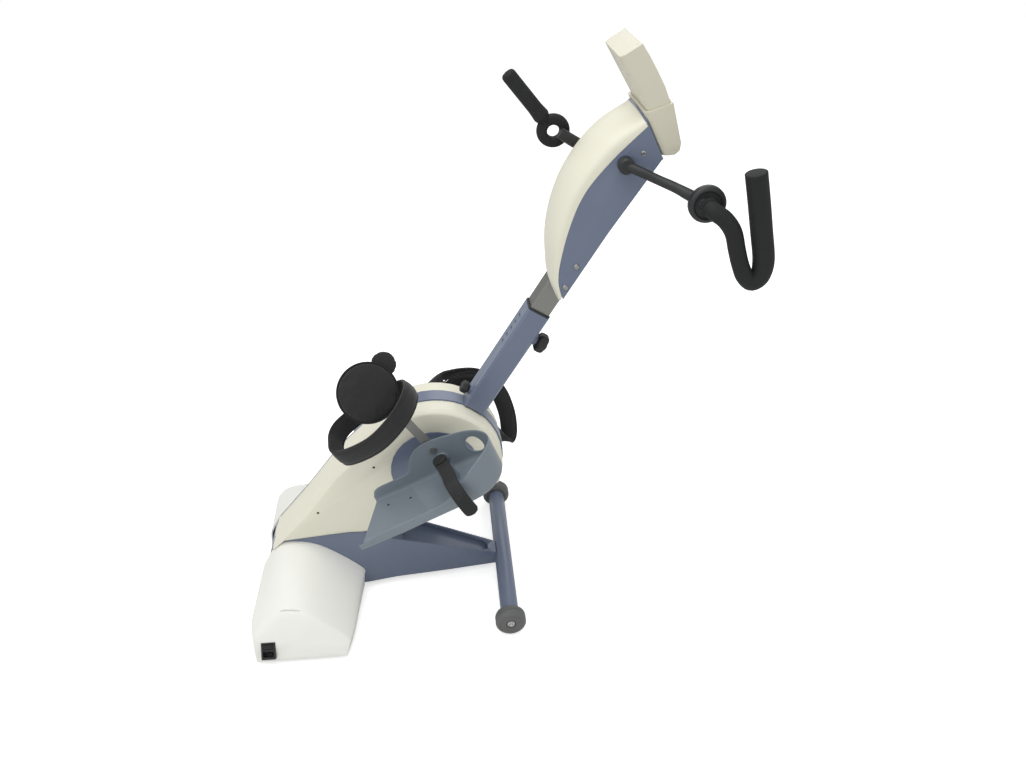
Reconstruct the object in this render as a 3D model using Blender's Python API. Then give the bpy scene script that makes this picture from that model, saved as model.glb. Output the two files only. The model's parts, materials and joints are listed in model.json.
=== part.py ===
"""Active passive trainer: motorised leg cranks with foot shells, motorised arm cranks on a column."""

import math

import bmesh
import bpy
from mathutils import Matrix, Vector

# Everything is in metres. X runs along the machine towards the user, Y across it, Z up.
# Places are written from the axis of the rear cross tube, and the root empty shifts them by ORIGIN_X,
# so that the world origin is on the floor under the middle of the object.
ORIGIN_X = 0.03425
GAP = 0.0003
RUN_GAP = 0.0004
ROUND_STEPS = 18
MEDIUM_STEPS = 12
SMALL_STEPS = 8
WHEEL_STEPS = 20

# Rear cross tube and its rollers
TUBE_RADIUS = 0.019
TUBE_WALL = 0.002
TUBE_HALF = 0.2015
ROLLER_RADIUS = 0.032
ROLLER_WIDTH = 0.031
ROLLER_BORE = 0.0054
ROLLER_GROOVE = 0.002
ROLLER_PLUG = 0.022
ROLLER_HEAD = 0.0085

# Base box: two half covers on a plate, one each side of the frame
FRAME_HALF = 0.056
BOX_END = 0.262
BOX_BOTTOM = 0.009
BOX_WALL = 0.003
PLATE_LIFT = 0.0095
PLATE_THICKNESS = 0.003
PLATE_INSET = 0.0045
FOOT_WIDE = 0.026
FOOT_REACH = 0.195
FOOT_FRONT = -0.505
FOOT_BACK = -0.352

# Mains inlet in the slanted end of the near half cover
INLET_CENTRE = Vector((-0.493, -0.2575, 0.0345))
INLET_WIDTH = 0.028
INLET_HEIGHT = 0.034
INLET_DEPTH = 0.022
INLET_LEAN = math.radians(-31)
SWITCH_WIDTH = 0.020
SWITCH_HEIGHT = 0.010

# Welded frame: folded channel beam, saddle and leg-unit cheeks
SHEET = 0.003
BEAM_END = -0.016

# Leg unit
AXLE = Vector((-0.139, 0, 0.318))
DRUM_RADIUS = 0.140
RIM_HALF = 0.018
RIM_STAND = 0.003
RIM_WALL = 0.004
SHELL_FACE = 0.063
SHELL_WALL = 0.0025
SHELL_ROUND = 0.012
TIP_SOLID = -0.440
TIP_ROUND = 0.25
TRIM_OUTER = 0.092
TRIM_INNER = 0.054
TRIM_PROUD = 0.0012
TRIM_DEEP = 0.0012
TRIM_TURN = (-3.6, 243.6)
AXLE_RADIUS = 0.010
BEARING_RADIUS = 0.021
BEARING_WIDTH = 0.009
BEARING_SEAT = 0.0185
CRANK_RADIUS = 0.064
CRANK_ANGLE = math.radians(75)
CRANK_THICK = 0.012
CRANK_INNER = 0.0690
CRANK_BOSS = 0.020
CRANK_TIP = 0.017
PIN_RADIUS = 0.0065
PIN_COLLAR = 0.011
PIN_FLANGE = 0.003
LEG_PULLEY_RADIUS = 0.066
LEG_MOTOR_CENTRE = Vector((-0.330, 0, 0.222))
LEG_MOTOR_RADIUS = 0.031
LEG_MOTOR_LENGTH = 0.036
LEG_MOTOR_PULLEY_RADIUS = 0.015

# Belt drives of the legs and the arms
PULLEY_WIDTH = 0.012
PULLEY_HUB = 0.008
PULLEY_HUB_WIDTH = 0.022
PULLEY_WEB = 0.006
PULLEY_RIM = 0.007
MOTOR_SHAFT_RADIUS = 0.0039
BELT_THICKNESS = 0.0022
BELT_WIDTH = 0.010

# Foot shells
FOOT_INNER = 0.110
FOOT_WIDTH = 0.140
FOOT_TILT = math.radians(24)
FAR_FOOT_TILT = math.radians(-26)
FOOT_LENGTH = 0.308
FOOT_WALL = 0.003
FOOT_PIVOT = Vector((0.1915, 0.0328))

# Column
COLUMN_FOOT = Vector((-0.0640, 0, 0.417))
COLUMN_TOP = Vector((0.0780, 0, 0.644))
COLUMN_WIDE = 0.050
COLUMN_DEEP = 0.048
COLUMN_WALL = 0.0025
TELESCOPE_GAP = 0.0006
BUSH_HEIGHT = 0.004
TELESCOPE_WALL = 0.002
TELESCOPE_IN = 0.210
TELESCOPE_OUT = 0.150

# Head
PLATE_OUTSIDE = 0.075
HEAD_SHEET = 0.0025
COVER_WALL = 0.0025
SHAFT = Vector((0.220, 0, 0.952))
SHAFT_RADIUS = 0.008
ARM_BEARING_RADIUS = 0.0130
ARM_BEARING_WALL = 0.0035
ARM_BEARING_WIDTH = 0.010
ARM_BEARING_SEAT = 0.061
HUB_RADIUS = 0.0135
HUB_START = 0.0785
HUB_LENGTH = 0.021
HUB_CAP = 0.004
ARM_PULLEY_RADIUS = 0.040
ARM_MOTOR_CENTRE = Vector((0.180, 0, 0.858))
ARM_MOTOR_RADIUS = 0.026
ARM_MOTOR_LENGTH = 0.045
ARM_MOTOR_PULLEY_RADIUS = 0.012
ARM_BRACKET_INNER = 0.007
ARM_BRACKET_THICK = 0.003
HEAD_BOLTS = {"low": (0.0890, 0.0050), "high": (0.1335, 0.0095)}
HEAD_BOLT_RADIUS = 0.006
END_PLATE = 0.004
END_LAP = 0.001
END_NOSE = 0.0225
COVER_NOSE = 0.0205
NOSE_FULLNESS = 0.62
COLLAR_PROUD = 0.0025
WEB_START = 0.010

# Handles
ARM_TUBE_RADIUS = 0.0088
FAR_ARM_RADIUS = 0.0112
RING_RADIUS = 0.0325
RING_FROM = 0.149
RING_TO = 0.170
SPIGOT_RADIUS = 0.0110
HANDLE_TUBE_RADIUS = 0.0150
GRIP_RADIUS = 0.0188
FAR_GRIP_RADIUS = 0.0142
FAR_RING_MIDDLE = 0.1265
FAR_RING_HALF = 0.0095
FAR_RING_HOLE = 0.0120
SWIVEL_RADIUS = 0.0050

# Control panel and its socket
PANEL_HALF = 0.0745
PANEL_CORNER = 0.0115
SOCKET_HALF = 0.0780
SOCKET_FOOT_HALF = 0.0760
SOCKET_CORNER = 0.0125
SCREEN_HEIGHT = 0.040
SCREEN_WIDTH = 0.096
SCREEN_DEPTH = 0.003

# Materials: colour, roughness, metallic
COLOURS = {
    "cream_plastic": ((0.86, 0.85, 0.78), 0.42, 0.0),
    "blue_paint": ((0.30, 0.36, 0.49), 0.38, 0.0),
    "grey_blue_shell": ((0.36, 0.42, 0.47), 0.45, 0.0),
    "black_rubber": ((0.030, 0.031, 0.034), 0.60, 0.0),
    "black_plastic": ((0.035, 0.036, 0.040), 0.45, 0.0),
    "black_webbing": ((0.028, 0.029, 0.032), 0.85, 0.0),
    "roller_grey": ((0.12, 0.12, 0.125), 0.50, 0.0),
    "bright_steel": ((0.66, 0.66, 0.66), 0.28, 1.0),
    "satin_steel": ((0.46, 0.46, 0.45), 0.40, 1.0),
    "bearing_steel": ((0.58, 0.58, 0.57), 0.30, 1.0),
    "brass": ((0.62, 0.45, 0.20), 0.35, 1.0),
    "motor_black": ((0.06, 0.06, 0.065), 0.50, 0.4),
    "board_green": ((0.05, 0.20, 0.10), 0.55, 0.0),
    "belt_rubber": ((0.045, 0.045, 0.05), 0.80, 0.0),
    "screen_dark": ((0.05, 0.07, 0.09), 0.15, 0.0),
}


def clear_scene():
    for obj in list(bpy.data.objects):
        bpy.data.objects.remove(obj, do_unlink=True)


def material(name):
    found = bpy.data.materials.get(name)
    if found:
        return found
    colour, roughness, metallic = COLOURS[name]
    made = bpy.data.materials.new(name)
    made.use_nodes = True
    shader = made.node_tree.nodes["Principled BSDF"]
    shader.inputs["Base Color"].default_value = (*colour, 1)
    shader.inputs["Roughness"].default_value = roughness
    shader.inputs["Metallic"].default_value = metallic
    return made


def empty(name, place, parent=None):
    made = bpy.data.objects.new(name, None)
    made.location = place
    made.parent = parent
    bpy.context.scene.collection.objects.link(made)
    return made


def add_object(name, mesh, finish, origin=(0, 0, 0), sharp=35):
    """Makes an object from a bmesh that is drawn in the shared frame, with its own origin on its axis."""
    origin = Vector(origin)
    bmesh.ops.translate(mesh, verts=mesh.verts, vec=-origin)
    bmesh.ops.recalc_face_normals(mesh, faces=mesh.faces)
    data = bpy.data.meshes.new(name)
    mesh.to_mesh(data)
    mesh.free()
    data.shade_smooth()
    data.set_sharp_from_angle(angle=math.radians(sharp))
    data.materials.append(material(finish))
    made = bpy.data.objects.new(name, data)
    made.location = origin
    made.parent = bpy.data.objects["trainer"]
    bpy.context.scene.collection.objects.link(made)
    return made


def combine(target, mesh, operation):
    """Unites the target with a helper solid, or cuts the helper out of it."""
    helper = add_object(f"{target.name}_{operation.lower()}_{len(target.modifiers)}", mesh, "satin_steel")
    helper.hide_render = True
    helper.display_type = "WIRE"
    step = target.modifiers.new(operation.lower(), "BOOLEAN")
    step.operation = operation
    step.solver = "EXACT"
    step.object = helper


def cut(target, mesh):
    combine(target, mesh, "DIFFERENCE")


def unite(target, mesh):
    combine(target, mesh, "UNION")


def loft(rings, closed=False):
    """Joins rings of points, all with one count, by strips of quads, and caps the two ends."""
    mesh = bmesh.new()
    rows = [[mesh.verts.new(point) for point in ring] for ring in rings]
    pairs = list(zip(rows, rows[1:]))
    if closed:
        pairs.append((rows[-1], rows[0]))
    for low, high in pairs:
        for here in range(len(low)):
            after = (here + 1) % len(low)
            mesh.faces.new((low[here], low[after], high[after], high[here]))
    if not closed:
        mesh.faces.new(rows[0][::-1])
        mesh.faces.new(rows[-1])
    bmesh.ops.recalc_face_normals(mesh, faces=mesh.faces)
    return mesh


def slab(outline, low, high):
    """A side-view outline of (x, z) points, extruded across the machine from y = low to y = high."""
    return loft([[(x, low, z) for x, z in outline], [(x, high, z) for x, z in outline]])


def block(centre, size, turn=None):
    """A box with its middle at the centre, turned by a rotation matrix."""
    mesh = bmesh.new()
    bmesh.ops.create_cube(mesh, size=1)
    place = Matrix.Translation(centre) @ (turn or Matrix.Identity(3)).to_4x4() @ Matrix.Diagonal((*size, 1))
    bmesh.ops.transform(mesh, matrix=place, verts=mesh.verts)
    return mesh


def axis_frame(axis):
    """Two directions square to an axis."""
    axis = Vector(axis).normalized()
    side = axis.cross(Vector((0, 0, 1)) if abs(axis.z) < 0.9 else Vector((1, 0, 0))).normalized()
    return side, side.cross(axis)


def turned(profile, centre, axis=(0, 1, 0), steps=ROUND_STEPS, ring=False):
    """Turns a profile of (radius, along) points round an axis. A ring's profile is a closed loop off the axis."""
    axis = Vector(axis).normalized()
    side, up = axis_frame(axis)
    centre = Vector(centre)
    mesh = bmesh.new()
    rows = []
    for radius, along in profile:
        middle = centre + axis * along
        if radius == 0:
            rows.append([mesh.verts.new(middle)])
            continue
        turns = [2 * math.pi * step / steps for step in range(steps)]
        rows.append([mesh.verts.new(middle + (side * math.cos(a) + up * math.sin(a)) * radius) for a in turns])
    pairs = list(zip(rows, rows[1:]))
    if ring:
        pairs.append((rows[-1], rows[0]))
    for low, high in pairs:
        for step in range(steps):
            after = (step + 1) % steps
            if len(low) == 1 and len(high) == 1:
                break
            if len(low) == 1:
                mesh.faces.new((low[0], high[step], high[after]))
            elif len(high) == 1:
                mesh.faces.new((low[step], low[after], high[0]))
            else:
                mesh.faces.new((low[step], low[after], high[after], high[step]))
    bmesh.ops.recalc_face_normals(mesh, faces=mesh.faces)
    return mesh


def rod(radius, start, end, steps=ROUND_STEPS):
    """A plain round bar between two points."""
    start = Vector(start)
    reach = Vector(end) - start
    return turned([(0, 0), (radius, 0), (radius, reach.length), (0, reach.length)], start, reach, steps)


def smooth_path(points, steps, closed=False):
    """Points read from a smooth curve (Catmull-Rom) that passes through the given ones."""
    points = [Vector(point) for point in points]
    last = len(points) if closed else len(points) - 1
    path = []
    for span in range(last):
        if closed:
            a, b, c, d = (points[(span + shift) % len(points)] for shift in (-1, 0, 1, 2))
        else:
            a = points[max(span - 1, 0)]
            b = points[span]
            c = points[span + 1]
            d = points[min(span + 2, len(points) - 1)]
        for step in range(steps):
            t = step / steps
            path.append(0.5 * (2 * b + (c - a) * t + (2 * a - 5 * b + 4 * c - d) * t**2
                               + (3 * b - a - 3 * c + d) * t**3))
    if not closed:
        path.append(points[-1])
    return path


def sweep(path, section, closed=False, up=None):
    """Carries a section along a path. section(share) gives its (across, above) points at that share."""
    count = len(path)
    rings = []
    side = None
    for index, point in enumerate(path):
        before = path[(index - 1) % count] if closed else path[max(index - 1, 0)]
        after = path[(index + 1) % count] if closed else path[min(index + 1, count - 1)]
        along = (after - before).normalized()
        if up is not None:
            side = along.cross(up(index / (count - 1)) if callable(up) else Vector(up)).normalized()
        elif side is None:
            side, _ = axis_frame(along)
        else:
            side = (side - along * side.dot(along)).normalized()
        above = side.cross(along)
        share = index / (count if closed else count - 1)
        rings.append([point + side * across + above * lift for across, lift in section(share)])
    return loft(rings, closed)


def circle(radius, steps=ROUND_STEPS, squeeze=1.0):
    turns = [2 * math.pi * step / steps for step in range(steps)]
    return [(radius * math.cos(turn), radius * squeeze * math.sin(turn)) for turn in turns]


def rounded_bar(width, height, corner):
    """The outline of a bar with cut corners, anticlockwise."""
    half_w = width / 2
    half_h = height / 2
    return [
        (half_w, corner - half_h), (half_w, half_h - corner), (half_w - corner, half_h),
        (corner - half_w, half_h), (-half_w, half_h - corner), (-half_w, corner - half_h),
        (corner - half_w, -half_h), (half_w - corner, -half_h),
    ]


def flat_bar(width, height):
    """The outline of a bar with square corners, anticlockwise."""
    across = width / 2
    above = height / 2
    return [(across, -above), (across, above), (-across, above), (-across, -above)]


def arc(centre, radius, start, end, steps):
    """Points on an arc in the side view, with angles in degrees."""
    turns = [math.radians(start + (end - start) * step / steps) for step in range(steps + 1)]
    return [(centre.x + radius * math.cos(turn), centre.z + radius * math.sin(turn)) for turn in turns]


def inset(outline, distance):
    """Moves each side of a closed outline inwards by a distance. The outline runs anticlockwise."""
    count = len(outline)
    moved = []
    for index in range(count):
        here = Vector(outline[index])
        into = (here - Vector(outline[index - 1])).normalized()
        out = (Vector(outline[(index + 1) % count]) - here).normalized()
        normal = Vector((-into.y, into.x)) + Vector((-out.y, out.x))
        normal.normalize()
        spread = max(0.35, normal.dot(Vector((-into.y, into.x))))
        moved.append(tuple(here + normal * distance / spread))
    return moved


def beside(centre, side, distance):
    return centre + Vector((0, side * distance, 0))


def side_name(side):
    return "near" if side < 0 else "far"


# Rear cross tube, beam and saddle, as one welded frame
PLATE_TOP = PLATE_LIFT + PLATE_THICKNESS
SADDLE = [(-0.500, 0.1275), (-0.470, 0.1515), (-0.330, 0.1600), (-0.303, 0.1590)]
BEAM_STATIONS = [
    (-0.508, 0.050, PLATE_TOP + GAP, 0.112),
    (SADDLE[0][0], FRAME_HALF, PLATE_TOP + GAP, SADDLE[0][1]),
    (SADDLE[1][0], FRAME_HALF, PLATE_TOP + GAP, SADDLE[1][1]),
    (SADDLE[2][0], FRAME_HALF, PLATE_TOP + GAP, SADDLE[2][1]),
    (SADDLE[3][0], 0.0555, 0.0150, SADDLE[3][1]),
    (-0.242, 0.0450, 0.0155, 0.1250),
    (-0.120, 0.0325, 0.0150, 0.0820),
    (BEAM_END, 0.0195, 0.0145, 0.0455),
]


def beam_ring(station, wall=0.0, drop=0.0):
    x, half, low, high = station
    half -= wall
    return [(x, -half, low - drop), (x, half, low - drop), (x, half, high - wall), (x, -half, high - wall)]


def base_frame():
    frame = add_object("base_frame", loft([beam_ring(station) for station in BEAM_STATIONS]), "blue_paint")
    hollow = [beam_ring(station, SHEET, 0.02) for station in BEAM_STATIONS[1:-1]]
    cut(frame, loft(hollow))
    tube = turned([(0, -TUBE_HALF), (TUBE_RADIUS, -TUBE_HALF), (TUBE_RADIUS, TUBE_HALF), (0, TUBE_HALF)],
                  (0, 0, ROLLER_RADIUS))
    unite(frame, tube)
    past = TUBE_HALF + 0.01
    bore = rod(TUBE_RADIUS - TUBE_WALL, (0, -past, ROLLER_RADIUS), (0, past, ROLLER_RADIUS))
    cut(frame, bore)
    return frame


def rollers():
    """A roller at each end of the cross tube, both on one axle whose plugs fill the tube's ends."""
    centre = Vector((0, 0, ROLLER_RADIUS))
    inner = TUBE_HALF + GAP
    outer = inner + ROLLER_WIDTH
    middle = (inner + outer) / 2
    rim = ROLLER_RADIUS
    dish = outer - 0.004
    for side in (-1, 1):
        profile = [
            (ROLLER_BORE, inner), (rim - 0.006, inner), (rim, inner + 0.005), (rim, middle - ROLLER_GROOVE),
            (rim - ROLLER_GROOVE, middle), (rim, middle + ROLLER_GROOVE), (rim, outer - 0.007),
            (rim - 0.006, outer), (ROLLER_HEAD + 0.004, outer), (ROLLER_HEAD + 0.002, dish), (ROLLER_BORE, dish),
        ]
        name = f"rear_roller_{side_name(side)}"
        add_object(name, turned(profile, centre, (0, side, 0), WHEEL_STEPS, True), "roller_grey", centre)
    plug = TUBE_RADIUS - TUBE_WALL - GAP
    head = dish + GAP
    pin = ROLLER_BORE - RUN_GAP
    half = [
        (pin, TUBE_HALF - ROLLER_PLUG), (plug, TUBE_HALF - ROLLER_PLUG), (plug, TUBE_HALF), (pin, TUBE_HALF),
        (pin, head), (ROLLER_HEAD, head), (ROLLER_HEAD, head + 0.002), (ROLLER_HEAD - 0.002, head + 0.0034),
        (0, head + 0.0034),
    ]
    profile = [(radius, -along) for radius, along in half[::-1]] + half
    add_object("roller_axle", turned(profile, centre, steps=MEDIUM_STEPS), "bright_steel", centre)


# Base box: rings of (x, z) from the front lower edge over the top to the back lower edge
BOX_JOINT = [
    (-0.530, BOX_BOTTOM), (-0.527, 0.068), (-0.520, 0.093), (-0.491, 0.135), (-0.455, 0.1455), (-0.394, 0.1275),
    (-0.316, 0.062), (-0.3115, 0.038), (-0.3140, BOX_BOTTOM),
]
BOX_SHOULDER = [
    (-0.530, BOX_BOTTOM), (-0.531, 0.050), (-0.527, 0.072), (-0.490, 0.094), (-0.452, 0.0985), (-0.402, 0.087),
    (-0.330, 0.045), (-0.3255, 0.030), (-0.3280, BOX_BOTTOM),
]
BOX_SHOULDER_Y = 0.205
END_DROP = [0.057, 0.048, 0.037, 0.017, 0.006, 0.016, 0.036, 0.047, 0.057]
END_BULGE = 0.006


def box_rings(side):
    """The half cover's rings, from the frame outwards; the last ones lean in to the slanted end face."""
    start = FRAME_HALF + GAP
    rings = [[(x, side * start, z) for x, z in BOX_JOINT]]
    middle = (start + BOX_SHOULDER_Y) / 2
    rings.append([((a[0] + b[0]) / 2, side * middle, (a[1] + b[1]) / 2 + 0.0015 * (a[1] > 0.05))
                  for a, b in zip(BOX_JOINT, BOX_SHOULDER)])
    rings.append([(x, side * BOX_SHOULDER_Y, z) for x, z in BOX_SHOULDER])
    end = []
    for (x, z), drop in zip(BOX_SHOULDER, END_DROP):
        share = drop / END_DROP[0]
        end.append(Vector((x + 0.010 * share * (1 if x < -0.43 else -1), side * (BOX_SHOULDER_Y + drop),
                           BOX_BOTTOM + (z - BOX_BOTTOM) * (1 - 0.22 * share))))
    rings.append(end)
    heart = sum(end, Vector()) / len(end) + Vector((0, side * 0.006, -0.004))
    bulged = []
    for point in end:
        moved = heart.lerp(point, 0.62)
        moved.y += side * END_BULGE
        moved.z = max(moved.z, BOX_BOTTOM)
        bulged.append(moved)
    bulged[0] = Vector((end[0].x + 0.035, end[0].y + side * 0.004, BOX_BOTTOM))
    bulged[-1] = Vector((end[-1].x - 0.035, end[-1].y + side * 0.004, BOX_BOTTOM))
    rings.append(bulged)
    return rings


def inward_rings(rings, side):
    """The inside of the half cover: each ring drawn in by the wall, open to the frame and to the floor."""
    inner = []
    for index, ring in enumerate(rings):
        points = [Vector(point) for point in ring]
        middle = sum(points, Vector()) / len(points)
        moved = []
        for place, point in enumerate(points):
            flat = Vector((point.x - middle.x, 0, point.z - middle.z))
            pulled = point - flat.normalized() * BOX_WALL * 1.25
            if index >= len(rings) - 2:
                pulled.y -= side * BOX_WALL * 1.2
            if place in (0, len(points) - 1):
                pulled.z = BOX_BOTTOM - 0.02
            moved.append(pulled)
        inner.append(moved)
    inner[0] = [point - Vector((0, side * 0.02, 0)) for point in inner[0]]
    return inner


def inlet_turn():
    return Matrix.Rotation(INLET_LEAN, 3, "X")


def base_covers():
    for side in (-1, 1):
        rings = box_rings(side)
        cover = add_object(f"base_cover_{side_name(side)}", loft(rings), "cream_plastic", sharp=28)
        cut(cover, loft(inward_rings(rings, side)))
        if side < 0:
            opening = (INLET_WIDTH + 2 * GAP, 0.05, INLET_HEIGHT + 2 * GAP)
            cut(cover, block(INLET_CENTRE, opening, inlet_turn()))


def base_plate():
    """The floor plate, drawn in from the lower edge of both half covers."""
    corners = [
        (BOX_JOINT[0][0] + PLATE_INSET, 0), (BOX_SHOULDER[0][0] + PLATE_INSET, BOX_SHOULDER_Y),
        (BOX_SHOULDER[0][0] + PLATE_INSET + 0.012, BOX_END - 0.012),
        (BOX_SHOULDER[-1][0] - PLATE_INSET - 0.012, BOX_END - 0.012),
        (BOX_SHOULDER[-1][0] - PLATE_INSET, BOX_SHOULDER_Y), (BOX_JOINT[-1][0] - PLATE_INSET, 0.060),
        (BOX_JOINT[-1][0] - PLATE_INSET, 0),
    ]
    far = corners[:-1]
    near = [(x, -y) for x, y in corners[1:-1]]
    outline = far + near[::-1]
    plate = add_object("base_plate", loft([[(x, y, z) for x, y in outline] for z in (PLATE_LIFT, PLATE_TOP)]),
                       "satin_steel")
    return plate


def base_feet():
    """Two rubber pads under the plate, each a long bar with round ends that runs along the machine."""
    for side in (-1, 1):
        radius = FOOT_WIDE / 2
        rings = []
        for height, draw in ((0, 0.0015), (0.002, 0), (PLATE_LIFT - GAP, 0.0005)):
            ring = []
            for end, lead in ((FOOT_BACK, -90), (FOOT_FRONT, 90)):
                for step in range(9):
                    turn = math.radians(lead + 180 * step / 8)
                    reach = radius - draw
                    across = side * FOOT_REACH + math.sin(turn) * reach
                    ring.append((end + math.cos(turn) * reach, across, height))
            rings.append(ring)
        place = Vector(((FOOT_FRONT + FOOT_BACK) / 2, side * FOOT_REACH, 0))
        add_object(f"base_foot_{side_name(side)}", loft(rings), "black_rubber", place)


def mains_inlet():
    """Appliance inlet with a rocker switch above it, in the slanted end of the near half cover."""
    turn = inlet_turn()
    outward = turn @ Vector((0, -1, 0))
    upward = turn @ Vector((0, 0, 1))
    centre = INLET_CENTRE - outward * (INLET_DEPTH / 2 - 0.0065)
    size = (INLET_WIDTH, INLET_DEPTH, INLET_HEIGHT)
    body = add_object("mains_inlet", block(centre, size, turn), "black_plastic")
    face = centre + outward * INLET_DEPTH / 2
    socket = face - upward * 0.0065
    cut(body, block(socket, (0.021, 0.022, 0.012), turn))
    for x, lift in ((-0.006, -0.0015), (0, 0.0015), (0.006, -0.0015)):
        blade = socket - outward * 0.008 + upward * lift + Vector((x, 0, 0))
        unite(body, block(blade, (0.0012, 0.009, 0.0035), turn))
    recess = face + upward * 0.0085
    cut(body, block(recess, (SWITCH_WIDTH + 2 * GAP, 0.016, SWITCH_HEIGHT + 2 * RUN_GAP), turn))
    pivot = recess - outward * 0.0035
    half = SWITCH_HEIGHT / 2
    outline = [(-half + 0.001, -0.0025), (half - 0.001, -0.0025), (half - 0.0002, 0.0030),
               (half - 0.0012, 0.0056), (0, 0.0040), (-half + 0.0012, 0.0048), (-half + 0.0002, 0.0030)]
    width = SWITCH_WIDTH / 2
    rings = [[pivot + upward * across + outward * out + Vector((x, 0, 0)) for across, out in outline]
             for x in (-width, width)]
    add_object("mains_switch", loft(rings), "black_rubber", pivot)


BOARD_LIFT = 0.008


def base_electronics():
    """The power board stands on the plate in the near half, behind the inlet."""
    floor = PLATE_TOP + GAP
    centre = Vector((-0.415, -0.135, floor + BOARD_LIFT))
    board = add_object("control_board", block(centre, (0.130, 0.110, 0.0016)), "board_green")
    for x in (-0.055, 0.055):
        for y in (-0.045, 0.045):
            foot = centre + Vector((x, y, -BOARD_LIFT))
            unite(board, rod(0.0035, foot, foot + Vector((0, 0, BOARD_LIFT + 0.001)), SMALL_STEPS))
    sink = centre + Vector((-0.040, 0, 0.0135))
    unite(board, block(sink - Vector((0, 0, 0.010)), (0.034, 0.080, 0.006)))
    for fin in (-1, 0, 1):
        unite(board, block(sink + Vector((fin * 0.0120, 0, 0.002)), (0.0018, 0.080, 0.022)))
    for x, y, radius, height in ((0.015, -0.03, 0.010, 0.026), (0.045, 0.02, 0.007, 0.018)):
        start = centre + Vector((x, y, 0))
        unite(board, rod(radius, start, start + Vector((0, 0, height)), SMALL_STEPS))


# Leg unit: one side-view outline drives the blue band, the cream shells and the cheeks
HOUSING_LOW = [(-0.225, 0.1715)]
HOUSING_ARC_START = -20
HOUSING_ARC_END = 132
HOUSING_BACK = [(-0.348, 0.312), (-0.424, 0.216)]


def housing_outline(lift=GAP, grow=0.0):
    """Anticlockwise from the front lower corner, over the saddle, round the drum and down the sloping front."""
    low = [(x, z + lift) for x, z in SADDLE + HOUSING_LOW]
    drum = arc(AXLE, DRUM_RADIUS, HOUSING_ARC_START, HOUSING_ARC_END, 18)
    outline = low + drum + HOUSING_BACK
    if not grow:
        return outline
    return low[:4] + inset(outline, -grow)[4:]


def leg_frame():
    """The blue band between the shells, with two cheeks that hold the bearings and the motor."""
    outline = housing_outline(grow=RIM_STAND)
    frame = add_object("leg_frame", slab(outline, -RIM_HALF, RIM_HALF), "blue_paint")
    cut(frame, slab(inset(outline, RIM_WALL), RIM_WALL - RIM_HALF, RIM_HALF - RIM_WALL))
    seat = BEARING_SEAT
    for side in (-1, 1):
        wall = rod(BEARING_RADIUS + 0.006, AXLE + Vector((0, side * (RIM_HALF - 0.001), 0)),
                   AXLE + Vector((0, side * (seat + BEARING_WIDTH), 0)))
        unite(frame, wall)
        cut(frame, rod(BEARING_RADIUS + GAP, AXLE + Vector((0, side * seat, 0)),
                       AXLE + Vector((0, side * (seat + BEARING_WIDTH + 0.01), 0))))
    cut(frame, rod(BEARING_RADIUS - 0.004, AXLE - Vector((0, 0.04, 0)), AXLE + Vector((0, 0.04, 0))))
    cut(frame, rod(LEG_MOTOR_PULLEY_RADIUS + 0.004, LEG_MOTOR_CENTRE - Vector((0, 0.005, 0)),
                   LEG_MOTOR_CENTRE + Vector((0, 0.04, 0))))
    return frame


def hollow_outline():
    """The housing's outline without its thin front tip, where the shell stays solid."""
    outline = housing_outline()
    low = outline[2]
    share = (TIP_SOLID - outline[1][0]) / (low[0] - outline[1][0])
    floor = (TIP_SOLID, outline[1][1] + share * (low[1] - outline[1][1]))
    share = (TIP_SOLID - outline[0][0]) / (outline[-1][0] - outline[0][0])
    slope = (TIP_SOLID, outline[0][1] + share * (outline[-1][1] - outline[0][1]))
    return [floor] + outline[2:] + [slope]


def shell_rings(side, wall=0.0):
    """Rings from the blue band to the shell's face, drawn in over its round edge, less so at the tip."""
    outline = hollow_outline() if wall else housing_outline()
    start = RIM_HALF + GAP
    face = SHELL_FACE - wall
    rings = []
    for depth, drawn in ((start - (0.02 if wall else 0), 0), (face - SHELL_ROUND, 0),
                         (face - SHELL_ROUND * 0.45, SHELL_ROUND * 0.17), (face - SHELL_ROUND * 0.12, SHELL_ROUND * 0.5),
                         (face, SHELL_ROUND)):
        points = inset(outline, drawn + wall)
        if not wall:
            points[:2] = inset(outline, drawn * TIP_ROUND)[:2]
        rings.append([(x, side * depth, z) for x, z in points])
    return rings


def sector(radius_out, radius_in, start, end, low, high, steps=20):
    """A flat part ring about the leg axle, between two angles, from y = low to y = high."""
    outer = arc(AXLE, radius_out, start, end, steps)
    inner = arc(AXLE, radius_in, end, start, steps)
    return slab(outer + inner, low, high)


def leg_shells():
    for side in (-1, 1):
        shell = add_object(f"leg_shell_{side_name(side)}", loft(shell_rings(side)), "cream_plastic", sharp=28)
        cut(shell, loft(shell_rings(side, SHELL_WALL)))
        cut(shell, rod(CRANK_BOSS + 0.002, beside(AXLE, side, 0.05), beside(AXLE, side, 0.08)))
        low = SHELL_FACE - TRIM_DEEP
        pocket = sorted((side * low, side * (SHELL_FACE + 0.01)))
        cut(shell, sector(TRIM_OUTER + GAP, TRIM_INNER - GAP, -4, 244, *pocket))
        span = sorted((side * (low + GAP), side * (SHELL_FACE + TRIM_PROUD)))
        trim = sector(TRIM_OUTER, TRIM_INNER, *TRIM_TURN, *span)
        add_object(f"leg_trim_{side_name(side)}", trim, "blue_paint")


def crank_end(side):
    """The middle of a pedal pin: the near crank stands up, the far one hangs down."""
    reach = Vector((math.cos(CRANK_ANGLE), 0, math.sin(CRANK_ANGLE))) * CRANK_RADIUS
    return AXLE - reach * side


def link_plate(start, end, radius_start, radius_end, low, high):
    """A plate with two round ends, from y = low to y = high."""
    run = end - start
    lead = math.degrees(math.atan2(run.z, run.x))
    first = arc(start, radius_start, lead + 90, lead + 270, 12)
    second = arc(end, radius_end, lead - 90, lead + 90, 12)
    return slab(first + second, low, high)


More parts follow.
